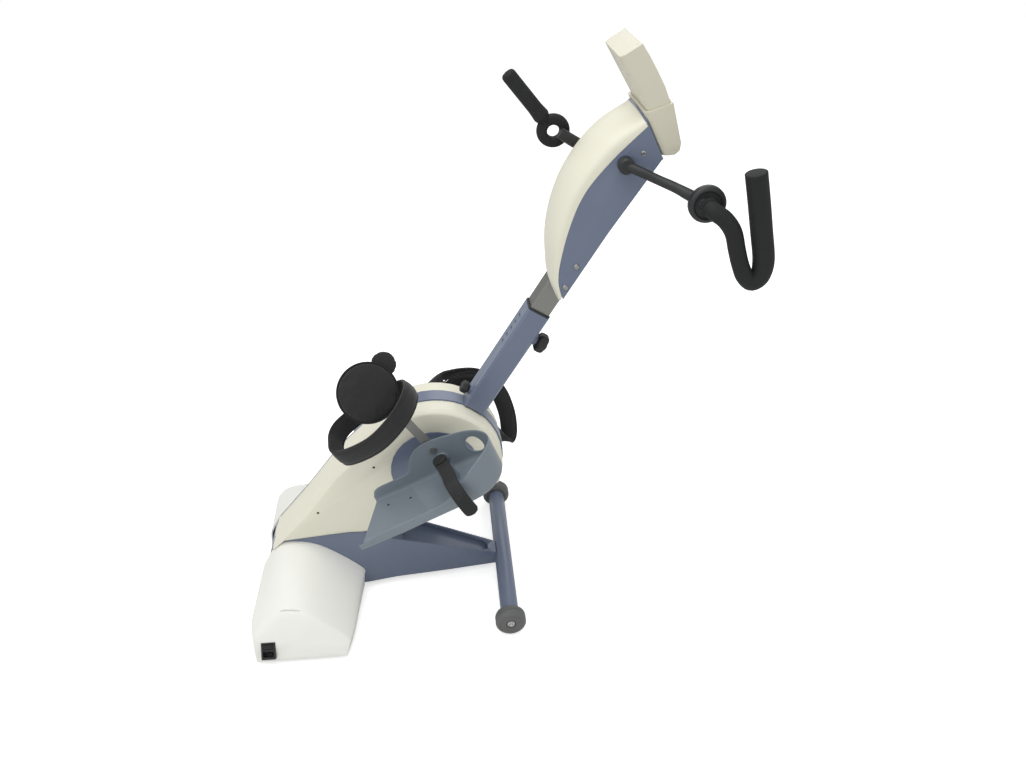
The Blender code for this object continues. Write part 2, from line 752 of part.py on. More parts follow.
def shaft_with_pulley(name, centre, radius, end, rim):
    """A shaft across the machine with a dished belt pulley in its middle."""
    half = PULLEY_WIDTH / 2
    hub = radius + PULLEY_HUB
    inside = rim - PULLEY_RIM
    arm = [
        (rim, half), (inside, half), (inside, PULLEY_WEB / 2), (hub, PULLEY_WEB / 2), (hub, PULLEY_HUB_WIDTH / 2),
        (radius, PULLEY_HUB_WIDTH / 2), (radius, end), (0, end),
    ]
    profile = [(reach, -along) for reach, along in arm[::-1]] + arm
    add_object(name, turned(profile, centre), "bright_steel", centre)


def belt_drive(prefix, shaft, motor_centre, rim, small, motor):
    """A motor beside a shaft's pulley, with its own small pulley and the open belt round both."""
    motor_radius, start, length = motor
    half = PULLEY_WIDTH / 2
    bore = MOTOR_SHAFT_RADIUS + GAP
    pinion = [(bore, -half), (small, -half), (small, half), (bore, half)]
    name = f"{prefix}_motor_pulley"
    add_object(name, turned(pinion, motor_centre, ring=True), "satin_steel", motor_centre)
    stop = start + length
    body = [
        (0, -half), (MOTOR_SHAFT_RADIUS, -half), (MOTOR_SHAFT_RADIUS, start), (motor_radius - 0.002, start),
        (motor_radius, start + 0.002), (motor_radius, stop - 0.002), (motor_radius - 0.002, stop), (0, stop),
    ]
    add_object(f"{prefix}_motor", turned(body, motor_centre), "motor_black", motor_centre)
    run = motor_centre - shaft
    lead = math.degrees(math.atan2(run.z, run.x))
    wrap = 90 - math.degrees(math.asin((rim - small) / run.length))
    middle = BELT_THICKNESS / 2 + GAP
    big_turn = arc(shaft, rim + middle, lead + wrap, lead + 360 - wrap, 20)
    small_turn = arc(motor_centre, small + middle, lead - wrap, lead + wrap, 8)
    path = [Vector((x, 0, z)) for x, z in big_turn + small_turn]
    belt = sweep(path, lambda share: flat_bar(BELT_THICKNESS, BELT_WIDTH), True, (0, 1, 0))
    add_object(f"{prefix}_belt", belt, "belt_rubber", shaft)


def leg_drive():
    shaft_with_pulley("leg_axle", AXLE, AXLE_RADIUS, CRANK_INNER + CRANK_THICK - 0.001, LEG_PULLEY_RADIUS)
    for side in (-1, 1):
        name = side_name(side)
        axis = (0, side, 0)
        start = BEARING_SEAT + GAP
        stop = BEARING_SEAT + BEARING_WIDTH - GAP
        race = [(AXLE_RADIUS + GAP, start), (BEARING_RADIUS, start), (BEARING_RADIUS, stop),
                (AXLE_RADIUS + GAP, stop)]
        add_object(f"leg_bearing_{name}", turned(race, AXLE, axis, ring=True), "bearing_steel", AXLE)
        pin = crank_end(side)
        span = sorted((side * CRANK_INNER, side * (CRANK_INNER + CRANK_THICK)))
        plate = link_plate(AXLE, pin, CRANK_BOSS, CRANK_TIP, *span)
        crank = add_object(f"leg_crank_{name}", plate, "satin_steel", AXLE)
        for place, radius in ((AXLE, AXLE_RADIUS), (pin, PIN_RADIUS)):
            cut(crank, rod(radius + GAP, beside(place, side, 0.05), beside(place, side, 0.1)))
        pedal_pin(name, pin, axis)
    motor = (LEG_MOTOR_RADIUS, RIM_HALF + GAP, LEG_MOTOR_LENGTH)
    belt_drive("leg", AXLE, LEG_MOTOR_CENTRE, LEG_PULLEY_RADIUS, LEG_MOTOR_PULLEY_RADIUS, motor)


def pedal_pin(name, pin, axis):
    """A pin through the crank's eye with a collar outside it, and a head inside the foot shell's wall."""
    root = CRANK_INNER + 0.001
    collar = CRANK_INNER + CRANK_THICK + GAP
    tip = FOOT_INNER + PEDAL_SEAT + RUN_GAP
    profile = [
        (0, root), (PIN_RADIUS, root), (PIN_RADIUS, collar), (PIN_COLLAR, collar), (PIN_COLLAR, collar + PIN_FLANGE),
        (PIN_RADIUS, collar + PIN_FLANGE), (PIN_RADIUS, tip), (PIN_COLLAR - 0.001, tip),
        (PIN_COLLAR - 0.001, tip + PIN_FLANGE), (0, tip + PIN_FLANGE),
    ]
    add_object(f"pedal_pin_{name}", turned(profile, pin, axis, MEDIUM_STEPS), "bright_steel", pin)


# Foot shell: the rim's plan, anticlockwise from the toe on the machine side, as (along, across, height)
FOOT_HEEL = FOOT_LENGTH - FOOT_WIDTH / 2
FOOT_RIM = [
    (0.000, 0, 0.013), (0.030, 0, 0.028), (0.060, 0, 0.031), (0.140, 0, 0.027), (0.160, 0, 0.050),
    (0.180, 0, 0.074), (0.212, 0, 0.090),
]
HEEL_HEIGHTS = [0.100, 0.107, 0.113, 0.117, 0.118, 0.114, 0.102, 0.082, 0.060]
FOOT_OUTER_RIM = [
    (0.212, FOOT_WIDTH, 0.036), (0.180, FOOT_WIDTH, 0.026), (0.140, FOOT_WIDTH, 0.025), (0.060, FOOT_WIDTH, 0.021),
    (0.030, FOOT_WIDTH, 0.018), (0.000, FOOT_WIDTH, 0.013),
]
PEDAL_BOSS = 0.0135
PEDAL_SEAT = 0.0064
GUIDE_SEAT = 0.0050
GUIDE_HINGE = Vector((0.183, 0.060))
GUIDE_PIN = 0.004
BAIL_AXIS = Vector((0.0430, 0.034))
BAIL_FROM = 0.1800
BAIL_TO = 0.2120
BAIL_EAR = 0.005
BAIL_EAR_TOP = 0.0060
BAIL_PIN = 0.0035
BAIL_BARREL = 0.0080


def foot_place(side):
    """Turns a foot shell's own (along, across, above) into the shared frame, hung on its pedal pin."""
    tilt = FOOT_TILT if side < 0 else FAR_FOOT_TILT
    along = Vector((math.cos(tilt), 0, math.sin(tilt)))
    above = Vector((-math.sin(tilt), 0, math.cos(tilt)))
    pin = crank_end(side)
    across = Vector((0, side, 0))

    def place(u, v, w):
        return (pin + along * (u - FOOT_PIVOT.x) + above * (w - FOOT_PIVOT.y)
                + across * (FOOT_INNER + v))
    return place


def foot_wall_mesh(place):
    """A tray with a wall that runs from the toe round the heel and back, its rim rising to the heel."""
    stations = [(Vector((u, v)), Vector((0, 1)), height) for u, v, height in FOOT_RIM]
    radius = FOOT_WIDTH / 2
    middle = Vector((FOOT_HEEL, radius))
    for step, height in enumerate(HEEL_HEIGHTS):
        turn = -math.pi / 2 + math.pi * step / (len(HEEL_HEIGHTS) - 1)
        out = Vector((math.cos(turn), math.sin(turn)))
        stations.append((middle + out * radius, -out, height))
    stations += [(Vector((u, v)), Vector((0, -1)), height) for u, v, height in FOOT_OUTER_RIM]
    mesh = bmesh.new()
    rows = []
    for plan, into, height in stations:
        heel = max(0.0, min(1.0, (plan.x - 0.10) / 0.15))
        low = 0.004 + 0.012 * heel
        belly = 0.001 + 0.003 * heel
        levels = [(low, 0), (belly, 0.010), (0, height), (FOOT_WALL, height), (belly + FOOT_WALL, 0.0115),
                  (low + FOOT_WALL, FOOT_WALL)]
        row = []
        for draw, lift in levels:
            spot = plan + into * draw
            row.append(mesh.verts.new(place(spot.x, spot.y, lift)))
        rows.append(row)
    for here, after in zip(rows, rows[1:]):
        for level in range(5):
            mesh.faces.new((here[level], after[level], after[level + 1], here[level + 1]))
    mesh.faces.new([row[0] for row in rows])
    mesh.faces.new([row[5] for row in rows])
    mesh.faces.new(rows[0])
    mesh.faces.new(rows[-1])
    mesh.faces.new((rows[0][0], rows[0][5], rows[-1][5], rows[-1][0]))
    bmesh.ops.recalc_face_normals(mesh, faces=mesh.faces)
    return mesh


def foot_shells():
    for side in (-1, 1):
        place = foot_place(side)
        name = side_name(side)
        pin = crank_end(side)
        shell = add_object(f"foot_shell_{name}", foot_wall_mesh(place), "grey_blue_shell", pin)
        inner = CRANK_INNER + CRANK_THICK + GAP + PIN_FLANGE + RUN_GAP - FOOT_INNER
        unite(shell, rod(PEDAL_BOSS, place(*pivot_at(inner)), place(*pivot_at(PEDAL_SEAT))))
        unite(shell, rod(GUIDE_PIN + 0.005, place(GUIDE_HINGE.x, 0.001, GUIDE_HINGE.y),
                         place(GUIDE_HINGE.x, GUIDE_SEAT, GUIDE_HINGE.y), MEDIUM_STEPS))
        cut(shell, rod(PIN_RADIUS + RUN_GAP, place(*pivot_at(-0.05)), place(*pivot_at(0.02))))
        cut(shell, rod(0.023, place(0.268, -0.02, 0.052), place(0.262, 0.034, 0.050)))
        cut(shell, rod(GUIDE_PIN + RUN_GAP, place(GUIDE_HINGE.x, -0.02, GUIDE_HINGE.y),
                       place(GUIDE_HINGE.x, 0.02, GUIDE_HINGE.y)))
        v, w = BAIL_AXIS
        turn = Matrix.Rotation(-(FOOT_TILT if side < 0 else FAR_FOOT_TILT), 3, "Y")
        for start in (BAIL_FROM, BAIL_TO - BAIL_EAR):
            middle = start + BAIL_EAR / 2
            size = (BAIL_EAR, 2 * BAIL_EAR_TOP - 0.001, w - 0.002)
            unite(shell, block(place(middle, v, w / 2 + 0.001), size, turn))
            ends = [place(across, v, w) for across in (start + GAP, start + BAIL_EAR - GAP)]
            unite(shell, rod(BAIL_EAR_TOP, *ends, SMALL_STEPS))
        ends = [place(across, v, w) for across in (BAIL_FROM + 0.001, BAIL_TO - 0.001)]
        unite(shell, rod(BAIL_PIN, *ends, SMALL_STEPS))


def pivot_at(across):
    return FOOT_PIVOT.x, across, FOOT_PIVOT.y


BAIL_CAP = Vector((0.1960, 0.0430, 0.0475))
BAIL_WIDTH = 0.028
BAIL_THICK = 0.010
BAIL_ROUTE = [(0.1960, 0.043, 0.0500), (0.2010, 0.080, 0.0590), (0.2070, 0.115, 0.0630),
              (0.2140, 0.143, 0.0600), (0.2240, 0.162, 0.0370), (0.2340, 0.168, 0.0000)]


def foot_bails():
    """The black bail that folds over the instep, hinged on two ears beside the machine-side wall."""
    for side in (-1, 1):
        place = foot_place(side)
        v, w = BAIL_AXIS
        start = BAIL_FROM + BAIL_EAR + GAP
        stop = BAIL_TO - BAIL_EAR - GAP
        path = smooth_path([place(*point) for point in BAIL_ROUTE], 2)
        upward = place(0, 0, 1) - place(0, 0, 0)
        toe = place(1, 0, 0) - place(0, 0, 0)
        outward = place(0, 1, 0) - place(0, 0, 0)

        def up(share):
            bend = max(0.0, share - 0.45) / 0.55
            return upward * (1 - bend) + outward * bend

        bar = sweep(path, lambda share: rounded_bar(BAIL_WIDTH, BAIL_THICK, 0.002), up=up)
        hinge = place(start, v, w)
        bail = add_object(f"foot_bail_{side_name(side)}", bar, "black_rubber", place((start + stop) / 2, v, w))
        unite(bail, rod(0.0145, bail_cap(place, 0.0405), bail_cap(place, 0.062)))
        unite(bail, rod(BAIL_BARREL, hinge, place(stop, v, w)))
        cut(bail, rod(BAIL_PIN + RUN_GAP, place(start - 0.01, v, w), place(stop + 0.01, v, w), MEDIUM_STEPS))
        hole = place(0.2040, 0.092, 0.059)
        cut(bail, rod(0.0042, hole - upward * 0.02, hole + upward * 0.02, SMALL_STEPS))


def bail_cap(place, lift):
    return place(BAIL_CAP.x, BAIL_CAP.y, lift)


# Leg guides: a slotted bar on the foot shell, a round calf pad that slides on it, and a strap loop
GUIDE_TILT = {-1: math.radians(125.5), 1: math.radians(47)}
GUIDE_SET = {-1: 0.192, 1: 0.131}
GUIDE_LENGTH = 0.215
GUIDE_WIDTH = 0.018
GUIDE_THICK = 0.004
GUIDE_SLOT = 0.0065
PAD_RADIUS = 0.057
PAD_THICK = 0.012
PAD_OFFSET = {-1: 0.0335, 1: 0.034}
PAD_LOOKS_UP = {-1: 0.52, 1: 0.39}
CLIP_THICK = 0.004
TAB_SET = {-1: (0.052, 0.042), 1: (0.064, 0.010)}
STRAP_WIDTH = 0.038
STRAP_THICK = 0.003
STRAP_ROUTE = {
    -1: [(0.000, 0.0012, -0.036), (-0.058, 0.003, -0.034), (-0.096, 0.020, -0.032), (-0.112, 0.045, -0.040),
         (-0.108, 0.076, -0.056), (-0.035, 0.094, -0.062), (0.034, 0.088, -0.050), (0.068, 0.056, -0.040),
         (0.060, 0.013, -0.040)],
    1: [(0.000, 0.0016, -0.036), (0.045, 0.0024, -0.032), (0.090, 0.006, -0.036), (0.138, 0.022, -0.050),
        (0.160, 0.038, -0.042), (0.148, 0.048, -0.022), (0.108, 0.052, 0.010), (0.060, 0.060, 0.030),
        (0.000, 0.070, 0.020), (-0.050, 0.055, -0.010), (-0.070, 0.024, -0.030)],
}
STRAP_TWIST = {-1: 0.0, 1: 0.85}


def guide_frame(side):
    """A leg guide's hinge place, and its directions along the bar, beside it, and out from the machine."""
    place = foot_place(side)
    hinge = place(GUIDE_HINGE.x, 0, GUIDE_HINGE.y)
    turn = GUIDE_TILT[side]
    along = Vector((math.cos(turn), 0, math.sin(turn)))
    across = Vector((along.z, 0, -along.x))
    return hinge, along, across, Vector((0, side, 0))


def leg_guides():
    for side in (-1, 1):
        name = side_name(side)
        hinge, along, across, out = guide_frame(side)
        turn = Matrix((across, out, along)).transposed()
        bar_middle = hinge - out * (GAP + GUIDE_THICK / 2)
        outline = []
        for centre, lead in ((Vector((0, 0)), 180), (Vector((0, GUIDE_LENGTH)), 0)):
            for step in range(9):
                angle = math.radians(lead + 180 * step / 8)
                outline.append(centre + Vector((math.cos(angle), math.sin(angle))) * GUIDE_WIDTH / 2)
        rings = [[bar_middle + across * p.x + along * p.y + out * depth for p in outline]
                 for depth in (-GUIDE_THICK / 2, GUIDE_THICK / 2)]
        bar = add_object(f"leg_guide_bar_{name}", loft(rings), "satin_steel", hinge)
        slot_middle = bar_middle + along * (GUIDE_LENGTH * 0.66)
        cut(bar, block(slot_middle, (GUIDE_SLOT + 2 * RUN_GAP, 0.02, GUIDE_LENGTH * 0.56), turn))
        head = GUIDE_SEAT + RUN_GAP
        unite(bar, rod(GUIDE_PIN, bar_middle, hinge + out * (head + 0.001), SMALL_STEPS))
        unite(bar, rod(GUIDE_PIN + 0.003, hinge + out * head, hinge + out * (head + 0.0025), MEDIUM_STEPS))
        calf_pad(side, name, bar_middle + along * GUIDE_SET[side], along, across, out)


def calf_pad(side, name, seat, along, across, out):
    """The round pad on its clip: a stud through the bar's slot holds it, and its face looks up and outwards."""
    rise = PAD_LOOKS_UP[side]
    face = out * math.sqrt(1 - rise**2) + Vector((0, 0, rise))
    centre = seat + out * PAD_OFFSET[side]
    profile = [(0, 0), (PAD_RADIUS - 0.004, 0), (PAD_RADIUS, 0.004), (PAD_RADIUS, PAD_THICK - 0.004),
               (PAD_RADIUS - 0.004, PAD_THICK), (0.02, PAD_THICK + 0.001), (0, PAD_THICK + 0.001)]
    pad = add_object(f"calf_pad_{name}", turned(profile, centre, face), "black_rubber", centre)
    clip = seat + out * (GUIDE_THICK / 2 + RUN_GAP)
    turn = Matrix((across, out, along)).transposed()
    unite(pad, block(clip + out * CLIP_THICK / 2, (0.030, CLIP_THICK, 0.044), turn))
    unite(pad, rod(0.012, clip + out * CLIP_THICK / 2, centre + face * 0.004))
    back = seat - out * (GUIDE_THICK / 2 + RUN_GAP)
    unite(pad, rod(GUIDE_SLOT / 2, clip + out * 0.001, back - out * 0.002, SMALL_STEPS))
    unite(pad, rod(0.0095, back, back - out * 0.006, SMALL_STEPS))
    reach = along * TAB_SET[side][0] + across * TAB_SET[side][1]
    tab = centre + reach - face * reach.dot(face) - face * 0.001
    tab_profile = [(0, -0.004), (0.022, -0.004), (0.025, -0.001), (0.025, 0.003), (0.022, 0.006), (0, 0.006)]
    unite(pad, turned(tab_profile, tab, face, steps=16))
    behind = GUIDE_THICK / 2 + RUN_GAP + CLIP_THICK + STRAP_THICK / 2 + GAP
    route = []
    for p, q, t in STRAP_ROUTE[side]:
        route.append(seat + across * p + out * (q + behind) + along * t)
    path = smooth_path(route, 3, closed=True)

    def width(share):
        far_end = (1 - math.cos(2 * math.pi * share)) / 2
        twist = STRAP_TWIST[side] * far_end
        return (along * (1 - 0.65 * twist) + across * twist).normalized()

    strap = sweep(path, lambda share: flat_bar(STRAP_THICK, STRAP_WIDTH), True, width)
    add_object(f"calf_strap_{name}", strap, "black_webbing", seat)


# Column, telescopic tube and knobs
LEAN = (COLUMN_TOP - COLUMN_FOOT).normalized()
FACE = Vector((-LEAN.z, 0, LEAN.x))
STAR_KNOB_SET = 0.060
STAR_BOSS = 0.010
STAR_KNOB_RADIUS = 0.0205
STAR_STEM = 0.005
LOW_KNOB_SET = 0.046
LOW_STEM = 0.004


def square_tube(start, end, wide, deep, corner):
    """A bar of rounded rectangular section along the column's lean."""
    outline = rounded_bar(deep, wide, corner)
    return loft([[point + FACE * a + Vector((0, b, 0)) for a, b in outline] for point in (start, end)])


def column():
    """The outer tube stands on the leg unit's band; a saddle foot under it follows the drum."""
    top = COLUMN_TOP
    rim = DRUM_RADIUS + RIM_STAND + GAP
    tube = add_object("column", square_tube(COLUMN_FOOT - LEAN * 0.045, top, COLUMN_WIDE, COLUMN_DEEP, 0.004),
                      "blue_paint", COLUMN_FOOT)
    bore_wide = COLUMN_WIDE - 2 * COLUMN_WALL
    bore_deep = COLUMN_DEEP - 2 * COLUMN_WALL
    cut(tube, square_tube(COLUMN_FOOT + LEAN * 0.004, top + LEAN * 0.02, bore_wide, bore_deep, 0.0025))
    cut(tube, rod(rim, AXLE - Vector((0, 0.06, 0)), AXLE + Vector((0, 0.06, 0)), 72))
    for slot in range(5):
        spot = top - LEAN * (0.028 + slot * 0.016) + FACE * COLUMN_DEEP / 2
        cut(tube, block(spot, (0.012, 0.004, 0.005), column_turn()))
    star = column_top_spot(STAR_KNOB_SET) - FACE * COLUMN_DEEP / 2
    unite(tube, rod(0.011, star + FACE * 0.001, star - FACE * STAR_BOSS, MEDIUM_STEPS))
    cut(tube, rod(STAR_STEM + RUN_GAP, star + FACE * 0.01, star - FACE * 0.02))
    low = COLUMN_FOOT + LEAN * LOW_KNOB_SET + FACE * COLUMN_DEEP / 2
    unite(tube, rod(0.010, low - FACE * 0.001, low + FACE * 0.004, MEDIUM_STEPS))
    cut(tube, rod(LOW_STEM + RUN_GAP, low - FACE * 0.01, low + FACE * 0.02))


def column_turn():
    """Turns a box so that its X lies across the machine, Y out of the sloping face and Z up the column."""
    return Matrix((Vector((0, 1, 0)), FACE, LEAN)).transposed()


def column_top_spot(back):
    return COLUMN_TOP - LEAN * back


def telescope_size():
    narrowing = 2 * (COLUMN_WALL + TELESCOPE_GAP)
    return COLUMN_WIDE - narrowing, COLUMN_DEEP - narrowing


def telescope():
    wide, deep = telescope_size()
    start = COLUMN_TOP - LEAN * TELESCOPE_IN
    end = COLUMN_TOP + LEAN * TELESCOPE_OUT
    tube = add_object("telescope_tube", square_tube(start, end, wide, deep, 0.002), "satin_steel", COLUMN_TOP)
    inner = 2 * TELESCOPE_WALL
    cut(tube, square_tube(start - LEAN * 0.01, end + LEAN * 0.01, wide - inner, deep - inner, 0.001))
    outside = rounded_bar(COLUMN_DEEP, COLUMN_WIDE, 0.004)
    bush_start = COLUMN_TOP + LEAN * GAP
    rings = [[bush_start + LEAN * lift + FACE * a + Vector((0, b, 0)) for a, b in outside]
             for lift in (0, BUSH_HEIGHT)]
    bush = add_object("column_bush", loft(rings), "black_plastic", COLUMN_TOP)
    cut(bush, square_tube(bush_start - LEAN * 0.01, bush_start + LEAN * 0.02, wide + 2 * RUN_GAP,
                          deep + 2 * RUN_GAP, 0.002))


def lobed_knob(name, centre, axis, radius, height, lobes, stem_radius, stem, finish="black_plastic"):
    """A clamp knob with lobes round its rim, a domed top and a screw stem that points against the axis."""
    side, up = axis_frame(axis)
    axis = Vector(axis).normalized()
    rings = []
    for lift, share in ((0, 0.86), (height * 0.15, 1.0), (height * 0.75, 1.0), (height, 0.80)):
        ring = []
        for step in range(lobes * 4):
            turn = 2 * math.pi * step / (lobes * 4)
            reach = radius * share * (1 - 0.10 * (1 - math.cos(lobes * turn)) / 2)
            ring.append(centre + axis * lift + (side * math.cos(turn) + up * math.sin(turn)) * reach)
        rings.append(ring)
    knob = add_object(name, loft(rings), finish, centre)
    unite(knob, rod(stem_radius, centre + axis * 0.002, centre - axis * stem, SMALL_STEPS))
    return knob


def knobs():
    star = column_top_spot(STAR_KNOB_SET) - FACE * (COLUMN_DEEP / 2 + STAR_BOSS + RUN_GAP)
    lobed_knob("clamp_knob", star, -FACE, STAR_KNOB_RADIUS, 0.022, 6, STAR_STEM, STAR_BOSS + COLUMN_WALL)
    low = COLUMN_FOOT + LEAN * LOW_KNOB_SET + FACE * (COLUMN_DEEP / 2 + 0.004 + RUN_GAP)
    lobed_knob("stop_knob", low, FACE, 0.013, 0.016, 6, LOW_STEM, 0.004 + COLUMN_WALL)


# Head: two blue side plates, a cream cover round the front, the arm drive between them
HEAD_BACK = [(0.117, 0.697), (0.197, 0.825), (0.285, 0.955)]
HEAD_TOP = (0.2560, 1.0140)
HEAD_SEAM = [(0.198, 0.958), (0.153, 0.902), (0.128, 0.843), (0.112, 0.778), (0.1080, 0.730)]
HEAD_RUN = (Vector(HEAD_TOP) - Vector(HEAD_BACK[-1])).normalized()
COVER_END = tuple(Vector(HEAD_TOP) + HEAD_RUN * COVER_NOSE)
COVER_EDGE = [COVER_END, (0.191, 1.0020), (0.143, 0.948), (0.109, 0.880), (0.093, 0.806), (0.095, 0.734),
              (0.1075, 0.6860), (0.1262, 0.6560)]


def curve_points(points, steps):
    """A side-view outline read from a smooth curve through its points."""
    return [(p.x, p.z) for p in smooth_path([(x, 0, z) for x, z in points], steps)]


def plate_outline():
    seam = curve_points([HEAD_TOP] + HEAD_SEAM, 3)
    return HEAD_BACK + seam


def head_frame():
    """One folded blue sheet: two side plates, the web behind them, the end plate and the bearing seats."""
    outline = plate_outline()
    inside = PLATE_OUTSIDE - HEAD_SHEET
    frame = add_object("head_frame", slab(outline, -PLATE_OUTSIDE, PLATE_OUTSIDE), "blue_paint", SHAFT)
    web = Vector((HEAD_RUN.y, -HEAD_RUN.x))
    back = Vector(HEAD_BACK[1])
    fold = (Vector(HEAD_BACK[2]) - back).normalized()
    draw = Vector((-fold.y, fold.x)) * HEAD_SHEET
    hollow = [tuple(back + draw - fold * WEB_START), tuple(Vector(HEAD_BACK[2]) + draw + fold * 0.02),
              tuple(Vector(HEAD_TOP) + web * 0.02 + HEAD_RUN * 0.03)]
    hollow += [(0.05, 1.05), (0.05, 0.60), (0.20, 0.60), tuple(back - fold * WEB_START - draw * 3)]
    cut(frame, slab(hollow, -inside, inside))
    for side in (-1, 1):
        across = Vector((0, side, 0))
        seat_end = ARM_BEARING_SEAT + ARM_BEARING_WIDTH + GAP
        unite(frame, rod(ARM_BEARING_RADIUS + ARM_BEARING_WALL, SHAFT + across * ARM_BEARING_SEAT,
                         SHAFT + across * (PLATE_OUTSIDE + COLLAR_PROUD)))
        cut(frame, rod(ARM_BEARING_RADIUS + GAP, SHAFT + across * (ARM_BEARING_SEAT - 0.01),
                       SHAFT + across * seat_end))
        cut(frame, rod(SHAFT_RADIUS + 0.0015, SHAFT + across * ARM_BEARING_SEAT,
                       SHAFT + across * (PLATE_OUTSIDE + 0.01)))
    unite(frame, end_plate())
    return frame


def end_plate():
    """A D-shaped plate across the head's end: a strip of it shows, and it carries the display's cup."""
    low = Vector((HEAD_BACK[-1][0], 0, HEAD_BACK[-1][1]))
    run = Vector((HEAD_RUN.x, 0, HEAD_RUN.y))
    out = Vector((HEAD_RUN.y, 0, -HEAD_RUN.x))
    length = (Vector(HEAD_TOP) - Vector(HEAD_BACK[-1])).length
    outline = [(-PLATE_OUTSIDE, 0), (PLATE_OUTSIDE, 0), (PLATE_OUTSIDE, length)]
    for step in range(1, 12):
        turn = math.pi * step / 12
        outline.append((PLATE_OUTSIDE * math.cos(turn), length + END_NOSE * math.sin(turn) ** NOSE_FULLNESS))
    outline.append((-PLATE_OUTSIDE, length))
    return loft([[low + run * along + Vector((0, across, 0)) + out * depth for across, along in outline]
                 for depth in (-END_LAP, END_PLATE - END_LAP)])


def cover_section(front, back, half, wall, steps=8):
    """A cross-section of the cover: straight along the plate, then round the front like a D."""
    ring = []
    front = Vector((front[0], 0, front[1]))
    back = Vector((back[0], 0, back[1]))
    reach = front - back
    for step in range(steps + 1):
        turn = math.pi * step / steps
        across = -half * math.cos(turn)
        depth = math.sin(turn) ** NOSE_FULLNESS
        ring.append(back + reach * depth * (1 - wall / max(reach.length, 0.02)) + Vector((0, across, 0)))
    return ring


def head_cover():
    """The cream cover: a D-shaped shell over the front edge of both plates, open behind and below."""
    seam = curve_points([HEAD_TOP] + HEAD_SEAM + [(0.1215, 0.6720)], 3)
    edge = curve_points(COVER_EDGE, 3)
    count = len(seam)
    fronts = [edge[round(index * (len(edge) - 1) / (count - 1))] for index in range(count)]
    outer = [cover_section(front, back, PLATE_OUTSIDE + 0.0005, 0) for front, back in zip(fronts, seam)]
    inner = [cover_section(front, back, PLATE_OUTSIDE - COVER_WALL, COVER_WALL)
             for front, back in zip(fronts, seam)]
    rings = [a + b[::-1] for a, b in zip(outer, inner)]
    cover = add_object("head_cover", loft(rings), "cream_plastic", SHAFT, 28)
    outline = inset(plate_outline(), -GAP * 2)
    cut(cover, slab(outline, -PLATE_OUTSIDE - 0.01, PLATE_OUTSIDE + 0.01))
    low = Vector(HEAD_TOP) - HEAD_RUN * 0.1
    out = Vector((HEAD_RUN.y, -HEAD_RUN.x))
    corners = [low - out * (END_LAP + GAP), low + out * 0.05, low + HEAD_RUN * 0.2 + out * 0.05,
               low + HEAD_RUN * 0.2 - out * (END_LAP + GAP)]
    cut(cover, slab([tuple(corner) for corner in corners], -0.1, 0.1))
    wide, deep = telescope_size()
    cut(cover, square_tube(COLUMN_TOP, COLUMN_TOP + LEAN * (TELESCOPE_OUT + GAP), wide + 2 * TELESCOPE_GAP,
                           deep + 2 * TELESCOPE_GAP, 0.002))


def arm_drive():
    shaft_with_pulley("arm_shaft", SHAFT, SHAFT_RADIUS, HUB_START + HUB_LENGTH - HUB_CAP, ARM_PULLEY_RADIUS)
    for side in (-1, 1):
        stop = ARM_BEARING_SEAT + ARM_BEARING_WIDTH
        start = ARM_BEARING_SEAT + GAP
        race = [(SHAFT_RADIUS + GAP, start), (ARM_BEARING_RADIUS, start), (ARM_BEARING_RADIUS, stop),
                (SHAFT_RADIUS + GAP, stop)]
        name = f"arm_bearing_{side_name(side)}"
        add_object(name, turned(race, SHAFT, (0, side, 0), ring=True), "bearing_steel", SHAFT)
    motor = (ARM_MOTOR_RADIUS, ARM_BRACKET_INNER + ARM_BRACKET_THICK + GAP, ARM_MOTOR_LENGTH)
    belt_drive("arm", SHAFT, ARM_MOTOR_CENTRE, ARM_PULLEY_RADIUS, ARM_MOTOR_PULLEY_RADIUS, motor)
    arm_bracket()


def arm_bracket():
    """The arm motor's plate stands on three posts on the far side plate."""
    corners = [(-0.030, -0.023), (0.008, -0.030), (0.034, 0.006), (0.030, 0.018), (-0.018, 0.030),
               (-0.026, 0.026)]
    outline = [ARM_MOTOR_CENTRE + Vector((x, 0, z)) for x, z in corners]
    inner = ARM_BRACKET_INNER
    mesh = slab([(p.x, p.z) for p in outline], inner, inner + ARM_BRACKET_THICK)
    plate = add_object("arm_motor_bracket", mesh, "satin_steel", ARM_MOTOR_CENTRE)
    wall = Vector((0, PLATE_OUTSIDE - HEAD_SHEET - GAP, 0))
    for x, z in ((-0.0250, -0.0185), (0.0290, 0.0120), (-0.0200, 0.0240)):
        foot = ARM_MOTOR_CENTRE + Vector((x, 0, z))
        unite(plate, rod(0.0035, foot + Vector((0, inner + 0.001, 0)), foot + wall, SMALL_STEPS))
    boss = MOTOR_SHAFT_RADIUS + RUN_GAP
    cut(plate, rod(boss, ARM_MOTOR_CENTRE, ARM_MOTOR_CENTRE + Vector((0, 0.02, 0)), MEDIUM_STEPS))


